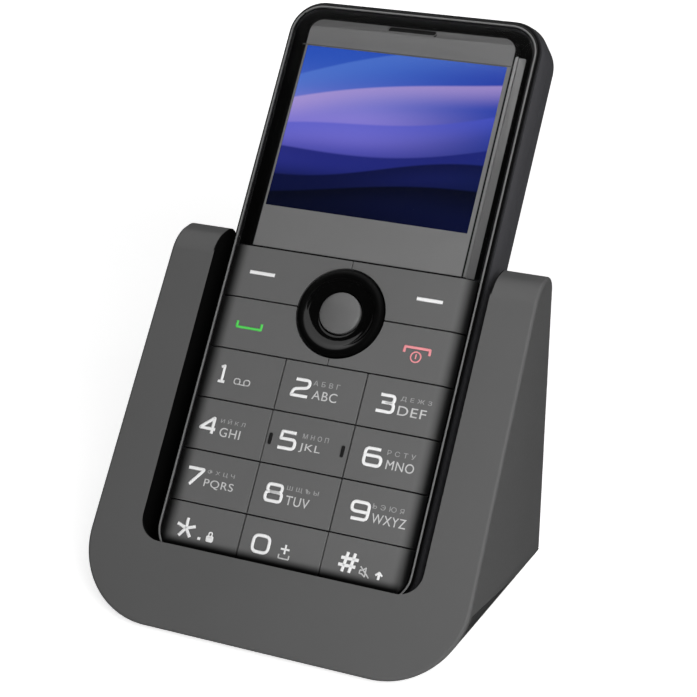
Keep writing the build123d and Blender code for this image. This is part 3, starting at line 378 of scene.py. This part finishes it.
# %% [markdown]
# The cradle is moulded in a satin charcoal plastic. Inside its pocket the colour is painted black:
# painted shade, so the gap beside the phone is as dark as deep shade makes it. The painted shade
# is found by place: it is everything between the pocket's walls and above its floor, behind the
# front plate's skin and before the skin of the back. The floor itself stays charcoal.

# %% Cradle plastic
PLATE_W, POCKET_HALF, POCKET_FLOOR = 1.54, 31.0, -79.6
BACK_FOOT_Y, BACK_SLOPE = 7.0, 0.0556    # the back's skin: how far back it starts, and its lean


def plastic_with_pocket_shade(name, colour, pocket_shade_colour):
    """The cradle's satin plastic, with painted shade in black inside the pocket."""
    material, tree, shader = new_material(name)
    u, v, w = phone_axes(tree)
    body = cloudy(tree, colour, 45.0, 0.05)
    inside = step_up(tree, sums(tree, "ABSOLUTE", u), POCKET_HALF, POCKET_HALF - 0.15)
    deep = step_up(tree, w, PLATE_W - 0.04, PLATE_W - 0.16)
    above = step_up(tree, v, POCKET_FLOOR, POCKET_FLOOR + 0.4)
    past_back = sums(tree, "MULTIPLY_ADD", v, ALONG.y - BACK_SLOPE * ALONG.z, sums(
        tree, "MULTIPLY_ADD", w, OUT.y - BACK_SLOPE * OUT.z,
        (ORIGIN.y - BACK_SLOPE * ORIGIN.z) / MM - BACK_FOOT_Y))
    before = step_up(tree, past_back, -0.15, -0.45)
    # Painted shade: the pocket's walls turn black, for the deep dark of the gap beside the phone.
    share = sums(tree, "MULTIPLY", sums(tree, "MULTIPLY", inside, deep),
                 sums(tree, "MULTIPLY", above, before))
    plug(tree, shader.inputs["Base Color"], blend_colours(tree, share, body, pocket_shade_colour))
    skin = noise(tree, 1500.0, 4.0, 0.6)
    rough = sums(tree, "MULTIPLY_ADD", skin, 0.10, 0.36)
    plug(tree, shader.inputs["Roughness"], sums(tree, "MAXIMUM", rough, share))
    bumpy(tree, shader, skin, 0.000006)
    shader.inputs["Specular IOR Level"].default_value = 0.35
    return material


cradle_plastic = plastic_with_pocket_shade("cradle_charcoal", paint(90), paint(3))
base_plastic = moulded("base_charcoal", paint(62), 0.5, specular=0.3)

# %% [markdown]
# The phone's housing is glossy black, the shoulder round the face too. On the side, a soft
# graphite band is a painted reflection: it stands for the pale sheen that the side's flat middle
# mirrors, and it fades back to black towards the face and the back. A thin silver trim runs round
# the face.

# %% Housing and trim
SHOULDER_W, SHEEN_TOP_W, SHEEN_LOW_W, BACK_W = -1.0, -3.0, -12.5, -15.2
housing, tree, shader = new_material("housing_black")
u, v, w = phone_axes(tree)
# Painted reflection: the graphite band on the side stands for the sheen that its flat middle
# mirrors.
painted_sheen_band = sums(tree, "MULTIPLY", step_up(tree, w, SHOULDER_W, SHEEN_TOP_W),
            step_up(tree, w, BACK_W, SHEEN_LOW_W))
skin = noise(tree, 1400.0, 3.0, 0.6)
plug(tree, shader.inputs["Base Color"], blend_colours(tree, painted_sheen_band, paint(6), blend_colours(
    tree, noise(tree, 60.0, 3.0), paint(71, 71, 74), paint(76, 76, 79))))
plug(tree, shader.inputs["Roughness"], sums(tree, "MULTIPLY_ADD", painted_sheen_band, 0.16, 0.16))
bumpy(tree, shader, skin, 0.000002)
shader.inputs["Specular IOR Level"].default_value = 0.3
trim = moulded("rim_silver", paint(128), 0.34, metallic=0.3, relief=0.000002)

# %% [markdown]
# The keys are one rolled field cut into pieces. They are grey like the cradle, and painted shade
# fades the grey to black at the field's outer edge, where it rolls down. Key 5 has two nubs that a
# thumb can find; they are coloured dark as a painted shadow.

# %% Key plastic
FIELD_HALF, FIELD_LOW = 27.05, -76.25
GREY_FROM_LEFT, GREY_TO_RIGHT, GREY_FROM_LOW = -22.9, 23.8, -72.3
KEY_TOP_W, NUB_W = 0.16, 0.22


def key_plastic(name, colour):
    """Satin grey with painted shade to black at the field's outer edges, and key 5's nubs coloured
    dark as their painted shadow.
    """
    material, tree, shader = new_material(name)
    u, v, w = phone_axes(tree)
    body = cloudy(tree, colour, 70.0, 0.04)
    # Painted shade: the grey fades to black towards the field's rolled left, right and lower
    # edges.
    left = step_up(tree, u, -FIELD_HALF + 0.3, GREY_FROM_LEFT)
    right = step_up(tree, u, FIELD_HALF - 0.4, GREY_TO_RIGHT)
    low = step_up(tree, v, GREY_FROM_LOW - 2.0, GREY_FROM_LOW)
    clear_of_edge_shade = sums(tree, "MULTIPLY", sums(tree, "MULTIPLY", left, right), low)
    shown = blend_colours(tree, clear_of_edge_shade, paint(6), body)
    # Painted shadow: key 5's raised nubs are coloured dark.
    nub_painted_shadow = step_up(tree, w, KEY_TOP_W, NUB_W)
    plug(tree, shader.inputs["Base Color"], blend_colours(tree, nub_painted_shadow, shown, paint(30)))
    skin = noise(tree, 2200.0, 3.0, 0.6)
    plug(tree, shader.inputs["Roughness"], sums(tree, "MULTIPLY_ADD", skin, 0.08, 0.34))
    bumpy(tree, shader, skin, 0.000003)
    shader.inputs["Specular IOR Level"].default_value = 0.25
    return material


key_grey = key_plastic("key_grey", paint(100))

# %% [markdown]
# The navigation ring is polished black inside its crest and satin outside it.

# %% Ring and centre key
RING_V, CREST_R = -21.4, 7.6
ring_black, tree, shader = new_material("ring_gloss_black")
u, v, w = phone_axes(tree)
from_axis = off_centre(tree, u, sums(tree, "SUBTRACT", v, RING_V))
satin = step_up(tree, from_axis, CREST_R - 0.2, CREST_R + 0.3)
shader.inputs["Base Color"].default_value = paint(7)
plug(tree, shader.inputs["Roughness"], sums(tree, "MULTIPLY_ADD", satin, 0.3, 0.08))
plug(tree, shader.inputs["Specular IOR Level"], sums(tree, "MULTIPLY_ADD", satin, -0.42, 0.5))
bumpy(tree, shader, noise(tree, 900.0, 4.0, 0.6), 0.0000005)
ok_grey = moulded("ok_key_grey", paint(98), 0.33, specular=0.4, relief=0.000003)

# %% [markdown]
# The window over the display is clear, and what shows round the picture is a mask printed behind
# it: grey with a black border. The pale strip along its right, lighter towards the top, is a
# painted reflection: it stands for the light that the window's rolled right edge mirrors. Thin
# clear plastic barely bends light, so it is drawn as a see-through surface with a mirror on top.

# %% Window and its printed mask
window, tree, shader = new_material("window_clear")
clear = add_node(tree, "ShaderNodeBsdfTransparent")
mirror = add_node(tree, "ShaderNodeBsdfGlossy")
mirror.inputs["Roughness"].default_value = 0.06
mix = add_node(tree, "ShaderNodeMixShader")
gloss = add_node(tree, "ShaderNodeFresnel")
gloss.inputs["IOR"].default_value = 1.1
plug(tree, mix.inputs[0], gloss.outputs[0])
plug(tree, mix.inputs[1], clear.outputs[0])
plug(tree, mix.inputs[2], mirror.outputs[0])
plug(tree, tree.nodes["Material Output"].inputs["Surface"], mix.outputs[0])
tree.nodes.remove(shader)

PANEL = (-23.4, 23.2, -12.5, 43.3)    # left, right, low, high
PAINTED_REFLECTION_STRIP = (23.6, 25.75, -12.5, 39.5)
LINE = (-24.2, 23.6, 37.05, 37.3)
mask, tree, shader = new_material("mask_print")
u, v, w = phone_axes(tree)


def rounded_slab(tree, u, v, left, right, low, high, radius, soft=0.12):
    """1 inside a rectangle with round corners, 0 outside."""
    across = sums(tree, "SUBTRACT", sums(tree, "ABSOLUTE", sums(
        tree, "SUBTRACT", u, (left + right) / 2)), (right - left) / 2 - radius)
    up = sums(tree, "SUBTRACT", sums(tree, "ABSOLUTE", sums(
        tree, "SUBTRACT", v, (low + high) / 2)), (high - low) / 2 - radius)
    far = off_centre(tree, sums(tree, "MAXIMUM", across, 0.0), sums(tree, "MAXIMUM", up, 0.0))
    inner = sums(tree, "MINIMUM", sums(tree, "MAXIMUM", across, up), 0.0)
    return step_up(tree, sums(tree, "SUBTRACT", sums(tree, "ADD", far, inner), radius),
                   soft, -soft)


panel = rounded_slab(tree, u, v, *PANEL, 3.0)
painted_reflection_strip = rounded_slab(tree, u, v, *PAINTED_REFLECTION_STRIP, 0.4)
grey = blend_colours(tree, noise(tree, 70.0, 3.0), paint(114), paint(119))
look = blend_colours(tree, panel, paint(3), grey)
# Painted reflection: the pale strip along the window's rolled right edge, lighter towards the top.
look = blend_colours(tree, painted_reflection_strip, look, blend_colours(
    tree, step_up(tree, v, -9.0, 37.0, smooth=False), paint(108), paint(142)))
line = rounded_slab(tree, u, v, *LINE, 0.05, soft=0.08)
look = blend_colours(tree, line, look, paint(84))
plug(tree, shader.inputs["Base Color"], look)
shader.inputs["Roughness"].default_value = 0.55
shader.inputs["Specular IOR Level"].default_value = 0.1

# %% [markdown]
# The picture on the display is an abstract wallpaper: folded silk ribbons that sweep across from
# lower left to upper right, blue above, lavender in the middle and navy below. Each ribbon has one
# crisp edge and fades away behind it. A lit display glows by itself, so the picture is emission.

# %% The picture on the display
picture, tree, shader = new_material("display_picture")
u, v, w = phone_axes(tree)
PICTURE_LEFT, PICTURE_W, PICTURE_H = -23.0, 45.3, 37.0
across = sums(tree, "MULTIPLY_ADD", u, 1 / PICTURE_W, -PICTURE_LEFT / PICTURE_W)
height = sums(tree, "MULTIPLY", v, 1 / PICTURE_H)
ground = add_node(tree, "ShaderNodeValToRGB")
ramp = ground.color_ramp
ramp.interpolation = "B_SPLINE"
for place, colour in ((0.22, paint(14, 22, 66)), (0.36, paint(52, 58, 158)),
                      (0.50, paint(118, 112, 208)), (0.62, paint(140, 128, 208)),
                      (0.78, paint(60, 96, 190))):
    stop = ramp.elements.new(place)
    stop.color = colour
ramp.elements[0].color = paint(4, 6, 20)
ramp.elements[-1].color = paint(36, 76, 180)
plug(tree, ground.inputs[0], sums(tree, "MULTIPLY_ADD", across, -0.05, sums(
    tree, "ADD", height, 0.03)))
shown = blend_colours(tree, step_up(tree, across, 0.30, 1.15), ground.outputs[0],
                      blend_colours(tree, step_up(tree, height, 0.15, 0.75), paint(10, 16, 50),
                                    paint(40, 62, 164)))
RIBBONS = [  # height at the left, rise, swing, turns, start, depth of the fade, share, colour
    (0.80, 0.34, 0.05, 3.2, 0.4, 0.22, 0.45, paint(92, 132, 214)),
    (0.62, 0.30, 0.06, 2.6, 1.1, 0.16, 0.60, paint(186, 160, 214)),
    (0.47, 0.26, 0.05, 3.6, 2.0, 0.14, 0.60, paint(74, 84, 196)),
    (0.36, 0.16, 0.07, 2.9, 3.0, 0.20, 0.85, paint(24, 32, 110)),
    (0.24, 0.12, 0.05, 4.1, 4.2, 0.22, 0.85, paint(9, 15, 50)),
    (0.12, 0.10, 0.04, 3.3, 5.3, 0.20, 0.90, paint(5, 8, 22)),
]
for left_end, rise, swing, turns, start, fade, share, colour in RIBBONS:
    wave = sums(tree, "SINE", sums(tree, "MULTIPLY_ADD", across, turns, start))
    edge_line = sums(tree, "ADD", sums(tree, "MULTIPLY_ADD", across, rise, left_end),
                     sums(tree, "MULTIPLY", wave, swing))
    below = sums(tree, "SUBTRACT", edge_line, height)
    crisp = step_up(tree, below, -0.006, 0.010)
    faded = step_up(tree, below, fade, 0.0)
    cover = sums(tree, "MULTIPLY", sums(tree, "MULTIPLY", crisp, faded), share)
    shown = blend_colours(tree, cover, shown, colour)
edge = rounded_slab(tree, u, v, PICTURE_LEFT, PICTURE_LEFT + PICTURE_W, 0.0, PICTURE_H, 0.1,
                    soft=0.05)
plug(tree, shader.inputs["Emission Color"], blend_colours(tree, edge, paint(0), shown))
shader.inputs["Emission Strength"].default_value = 1.0
shader.inputs["Base Color"].default_value = paint(4)
shader.inputs["Roughness"].default_value = 0.2
shader.inputs["Specular IOR Level"].default_value = 0.1

# %% [markdown]
# The inner pieces hardly show, but the phone comes out of its cradle and the battery, boards and
# contacts have finishes too: solder mask, gold, steel, silicone and black plastic.

# %% Inner finishes
rubber = moulded("foot_rubber", paint(28), 0.8, specular=0.2, relief=0.00002)
steel = moulded("zinc_steel", paint(165), 0.35, metallic=1.0)
gold = moulded("gold_plate", paint(214, 170, 84), 0.25, metallic=1.0)
board = moulded("solder_mask_green", paint(24, 92, 52), 0.4)
silicone = moulded("silicone_grey", paint(74), 0.6, specular=0.3)
inner_black = moulded("inner_black", paint(16), 0.5, specular=0.2)
wrap = moulded("battery_wrap", paint(60, 62, 68), 0.4)
lens_clear = moulded("lens_glass_dark", paint(22, 24, 30), 0.05, specular=0.6, relief=0.0)
torch_white = moulded("torch_lens_milky", paint(205), 0.15, relief=0.0)

FINISH = {
    cradle_plastic: ["cradle_shell"], base_plastic: ["cradle_base"], rubber: ["cradle_feet"],
    housing: ["front_frame", "back_cover"], trim: ["rim_trim"], window: ["lens"],
    mask: ["lens_print"], picture: ["display_panel"], key_grey: KEYS, ring_black: ["nav_ring"],
    ok_grey: ["ok_key"], silicone: ["key_mat"],
    steel: ["cradle_ballast", "cradle_screws", "cradle_usb_socket", "display_tray", "mid_frame",
            "shield_cans", "dome_sheet", "housing_screws", "phone_usb_socket"],
    gold: ["contact_barrels", "contact_pin_left", "contact_pin_right", "battery_contacts",
           "charge_pads", "antenna"],
    board: ["cradle_board", "main_board"], wrap: ["battery"], lens_clear: ["camera_window"],
    torch_white: ["torch_lens"],
    inner_black: ["contact_block", "earpiece", "earpiece_mesh", "sim_holder", "loudspeaker",
                  "microphone", "vibration_motor", "camera_module", "headphone_socket",
                  "nav_pad"],
}
dressed = set()
for material, names in FINISH.items():
    for name in names:
        for place in nodes[name].material_slots:
            place.material = material
        dressed.add(name)
print("solids without a finish:", sorted(set(nodes) - dressed))

# %% [markdown]
# The marks on the keys are printed in white. Their figures have one even stroke with squared,
# rounded turns, so each is drawn as a pen line: a curve with a round section, turned into a mesh
# and pressed flat onto the key. The field rolls down at its edges, and the print follows it.

# %% Pen lines
ROOF, ROLL, DROP = 0.1, 3.5, 1.3
ROLL_RADIUS = (ROLL ** 2 + DROP ** 2) / (2 * DROP)
INK_MM, CORNER_STEPS = 0.03, 5


def ink_colour(name, colour):
    """A printed ink: flat, even and hardly glossy."""
    return moulded(name, colour, 0.5, specular=0.2, relief=0.0, spread=0.03)


ink = ink_colour("ink_white", paint(238))
ink_fine = ink_colour("ink_fine", paint(196))
ink_faint = ink_colour("ink_faint", paint(160))
ink_green = ink_colour("ink_green", paint(92, 214, 96))
ink_rose = ink_colour("ink_rose", paint(236, 150, 156))


def roof(u, v):
    """Level of the field's surface at a place on it."""
    fall = 0.0
    for past in (abs(u) - FIELD_HALF + ROLL, FIELD_LOW + ROLL - v):
        if past > 0:
            fall = max(fall, ROLL_RADIUS - sqrt(ROLL_RADIUS ** 2 - min(past, ROLL) ** 2))
    return ROOF - fall


def rounded_path(points, radius, closed):
    """The points of a pen line whose corners are rounded, by one radius or by one each."""
    corners = [Vector(point) for point in points]
    radii = radius if isinstance(radius, list) else [radius] * len(corners)
    path = []
    for index, (corner, radius) in enumerate(zip(corners, radii)):
        if not closed and index in (0, len(corners) - 1):
            path.append(corner)
            continue
        before = corners[index - 1] - corner
        after = corners[(index + 1) % len(corners)] - corner
        cut = min(radius, before.length * 0.5, after.length * 0.5)
        start, end = corner + before.normalized() * cut, corner + after.normalized() * cut
        for step in range(CORNER_STEPS + 1):
            t = step / CORNER_STEPS
            path.append(start * (1 - t) ** 2 + corner * 2 * t * (1 - t) + end * t ** 2)
    return path


def press(item, finish):
    """Lays a flat drawing made in u, v (millimetres) onto the field."""
    for vertex in item.data.vertices:
        u, v, up = vertex.co
        vertex.co = at(u, v, roof(u, v) + INK_MM * (0.5 + up))
    item.data.materials.clear()
    item.data.materials.append(finish)
    return item


def pen(points, width, finish, radius=0.3, closed=False):
    """One pen line on the field. Its mesh is flattened to the ink's thickness."""
    bpy.ops.object.select_all(action="DESELECT")
    bpy.ops.curve.primitive_nurbs_path_add()
    item = bpy.context.object
    item.data.splines.clear()
    path = rounded_path(points, radius, closed)
    line = item.data.splines.new("POLY")
    line.points.add(len(path) - 1)
    for spot, place in zip(line.points, path):
        spot.co = (place.x, place.y, 0.0, 1.0)
    line.use_cyclic_u = closed
    item.data.bevel_depth = width / 2
    item.data.bevel_resolution = 1
    item.data.use_fill_caps = True
    bpy.ops.object.convert(target="MESH")
    item = bpy.context.object
    for vertex in item.data.vertices:
        vertex.co.z = max(-0.5, min(0.5, vertex.co.z / width * 2))
    return press(item, finish)


def words(text, left, right, low, high, finish, apart):
    """Fine letters, set in a box on the field and spaced apart."""
    bpy.ops.object.select_all(action="DESELECT")
    bpy.ops.object.text_add()
    item = bpy.context.object
    item.data.body = text
    item.data.space_character = apart
    item.data.extrude = 0.5
    bpy.ops.object.convert(target="MESH")
    item = bpy.context.object
    spread = [vertex.co.copy() for vertex in item.data.vertices]
    x_low, x_high = min(p.x for p in spread), max(p.x for p in spread)
    y_low, y_high = min(p.y for p in spread), max(p.y for p in spread)
    for vertex in item.data.vertices:
        vertex.co.x = left + (vertex.co.x - x_low) / (x_high - x_low) * (right - left)
        vertex.co.y = low + (vertex.co.y - y_low) / (y_high - y_low) * (high - low)
    return press(item, finish)


def print_on(key, marks):
    """Joins the marks of one key and lets them move with it."""
    bpy.ops.object.select_all(action="DESELECT")
    for item in marks:
        item.select_set(True)
    bpy.context.view_layer.objects.active = marks[0]
    if len(marks) > 1:
        bpy.ops.object.join()
    item = bpy.context.object
    item.name = item.data.name = f"print_{key}"
    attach(item, key)


# %% [markdown]
# Every figure is a short list of corners in a box about 3.5 wide and 3.4 high. A ring closes on
# itself.

# %% The figures
STROKE, THIN_STROKE = 0.74, 0.62
FIGURES = {  # each line: corners, rounding, closed
    "0": [([(0, 0), (3.5, 0), (3.5, 3.4), (0, 3.4)], 1.2, True)],
    "1": [([(0.15, 3.05), (0.85, 3.4), (0.85, 0.0)], 0.1, False),
          ([(0.1, 0.0), (1.6, 0.0)], 0, False)],
    "2": [([(0.4, 3.4), (3.5, 3.4), (3.5, 1.9), (0.3, 1.3), (0, 0), (3.6, 0)],
           [0, 0.9, 0.9, 0.6, 0.1, 0], False)],
    "3": [([(0.4, 3.4), (3.4, 3.4), (3.4, 1.85), (0.9, 1.85)], 0.75, False),
          ([(1.6, 1.85), (3.5, 1.85), (3.5, 0), (0, 0)], 0.8, False)],
    "4": [([(2.8, 0.0), (2.8, 3.4), (0.0, 1.0), (3.5, 1.0)], 0.25, False)],
    "5": [([(3.4, 3.4), (0.35, 3.4), (0.2, 1.95), (3.5, 1.95), (3.5, 0), (0, 0)],
           [0, 0.1, 0.1, 0.85, 0.85, 0], False)],
    "6": [([(3.2, 3.4), (0, 3.4), (0, 0), (3.6, 0), (3.6, 1.95), (0.1, 1.95)], 0.9, False)],
    "7": [([(0, 3.4), (3.5, 3.4), (0.9, 0.0)], 0.3, False)],
    "8": [([(0.2, 1.85), (3.3, 1.85), (3.3, 3.4), (0.2, 3.4)], 0.7, True),
          ([(0, 0), (3.5, 0), (3.5, 1.85), (0, 1.85)], 0.75, True)],
    "9": [([(0.3, 0), (3.6, 0), (3.6, 3.4), (0, 3.4), (0, 1.5), (3.5, 1.5)], 0.9, False)],
    "*": [([(2.8, 1.65), (2.8 + 2.15 * cos(radians(turn)), 1.65 + 2.15 * sin(radians(turn)))],
           0, False) for turn in (90, 18, -54, -126, 162)],
    "#": [([(1.1, -0.15), (1.6, 3.85)], 0, False), ([(2.6, -0.15), (3.1, 3.85)], 0, False),
          ([(0.1, 1.15), (3.75, 1.15)], 0, False), ([(0.4, 2.6), (4.1, 2.6)], 0, False)],
}
COLUMNS = (-24.0, -6.15, 12.5)
ROWS_V = (-39.6, -50.8, -61.85, -72.5)
KEY_MARKS = [  # key, figure, column, row, upper letters from and to, lower letters from and to
    ("key_1", "1", 0, 0, (), ()), ("key_star", "*", 0, 3, (), ()),
    ("key_0", "0", 1, 3, (), ()), ("key_hash", "#", 2, 3, (), ()),
    ("key_2", "2", 1, 0, ("АБВГ", 4.3, 10.1), ("ABC", 4.6, 10.0)),
    ("key_3", "3", 2, 0, ("ДЕЖЗ", 4.7, 11.3), ("DEF", 4.6, 10.6)),
    ("key_4", "4", 0, 1, ("ИЙКЛ", 4.3, 9.8), ("GHI", 4.6, 9.2)),
    ("key_5", "5", 1, 1, ("МНОП", 4.9, 10.5), ("JKL", 4.6, 9.2)),
    ("key_6", "6", 2, 1, ("РСТУ", 4.6, 10.6), ("MNO", 4.9, 10.8)),
    ("key_7", "7", 0, 2, ("ФХЦЧ", 4.3, 10.4), ("PQRS", 4.1, 10.7)),
    ("key_8", "8", 1, 2, ("ШЩЪЫ", 4.3, 11.2), ("TUV", 4.6, 9.7)),
    ("key_9", "9", 2, 2, ("ЬЭЮЯ", 4.3, 10.9), ("WXYZ", 4.6, 11.8)),
]


def icons(figure, u, v):
    """The small signs beside 1, star, 0 and hash, drawn from the figure's lower left corner."""
    if figure == "1":
        rings = [[(u + x, v), (u + x + 1.3, v), (u + x + 1.3, v + 1.15), (u + x, v + 1.15)]
                 for x in (3.7, 5.9)]
        return [pen(path, 0.28, ink_fine, 0.55, True) for path in rings] + [
            pen([(u + 4.3, v), (u + 6.6, v)], 0.28, ink_fine)]
    if figure == "*":
        lock = [(u + 7.85, v), (u + 9.05, v), (u + 9.05, v + 0.9), (u + 7.85, v + 0.9)]
        return [pen([(u + 5.85, v + 0.1), (u + 6.5, v + 0.1)], 0.65, ink),
                pen(lock, 0.45, ink, 0.15, True),
                pen([(u + 8.0, v + 0.4), (u + 8.9, v + 0.4)], 0.6, ink),
                pen([(u + 8.1, v + 1.0), (u + 8.1, v + 1.8), (u + 8.8, v + 1.8),
                     (u + 8.8, v + 1.0)], 0.3, ink, 0.35)]
    if figure == "0":
        return [pen([(u + 6.2, v + 1.65), (u + 8.1, v + 1.65)], 0.42, ink),
                pen([(u + 7.15, v + 0.7), (u + 7.15, v + 2.6)], 0.42, ink),
                pen([(u + 6.05, v + 0.55), (u + 6.05, v - 0.25), (u + 8.25, v - 0.25),
                     (u + 8.25, v + 0.55)], 0.3, ink_fine, 0.1)]
    if figure == "#":
        return [pen([(u + 4.8, v + 0.2), (u + 4.8, v + 0.9), (u + 5.3, v + 0.9),
                     (u + 6.0, v + 1.5), (u + 6.0, v - 0.3), (u + 5.3, v + 0.2)], 0.28, ink_fine,
                    0.1, True),
                pen([(u + 4.8, v + 1.6), (u + 6.9, v - 0.4)], 0.28, ink_fine),
                pen([(u + 8.15, v + 0.5), (u + 8.85, v + 1.15), (u + 9.55, v + 0.5)], 0.45, ink,
                    0.1),
                pen([(u + 8.85, v - 0.3), (u + 8.85, v + 0.8)], 0.6, ink)]
    return []


for key, figure, column, row, upper, lower in KEY_MARKS:
    u0, v0 = COLUMNS[column] + (1.15 if figure == "1" else 0), ROWS_V[row]
    stroke = THIN_STROKE if figure == "1" else STROKE
    marks = [pen([(u0 + x, v0 + y) for x, y in corners], stroke, ink, radius, closed)
             for corners, radius, closed in FIGURES[figure]]
    marks += icons(figure, u0, v0)
    for line, low, high, finish, apart in ((lower, -0.2, 1.7, ink_fine, 1.1),
                                           (upper, 2.65, 3.7, ink_faint, 1.7)):
        if line:
            text, left, right = line
            marks.append(words(text, u0 + left, u0 + right, v0 + low, v0 + high, finish, apart))
    print_on(key, marks)
print("printed keys:", len(KEY_MARKS))

# %% [markdown]
# The soft keys carry a plain white dash, the send key a green hook that points up and the end key
# a rose hook that points down over a small power sign.

# %% Dashes and call signs
print_on("soft_key_left", [pen([(-22.0, -15.4), (-16.3, -15.4)], 0.85, ink)])
print_on("soft_key_right", [pen([(15.4, -15.4), (21.0, -15.4)], 0.85, ink)])
print_on("send_key", [pen([(-21.8, -26.2), (-21.8, -27.5), (-16.3, -27.5), (-16.3, -26.2)], 0.6,
                          ink_green, 0.15)])
circle = [(18.1 + 1.1 * cos(radians(turn)), -27.5 + 1.1 * sin(radians(turn)))
          for turn in range(0, 360, 30)]
print_on("end_key", [pen([(15.4, -26.8), (15.4, -25.6), (20.8, -25.6), (20.8, -26.8)], 0.6,
                         ink_rose, 0.15),
                     pen(circle, 0.32, ink_rose, 0.2, True),
                     pen([(18.1, -26.9), (18.1, -27.9)], 0.32, ink_rose)])
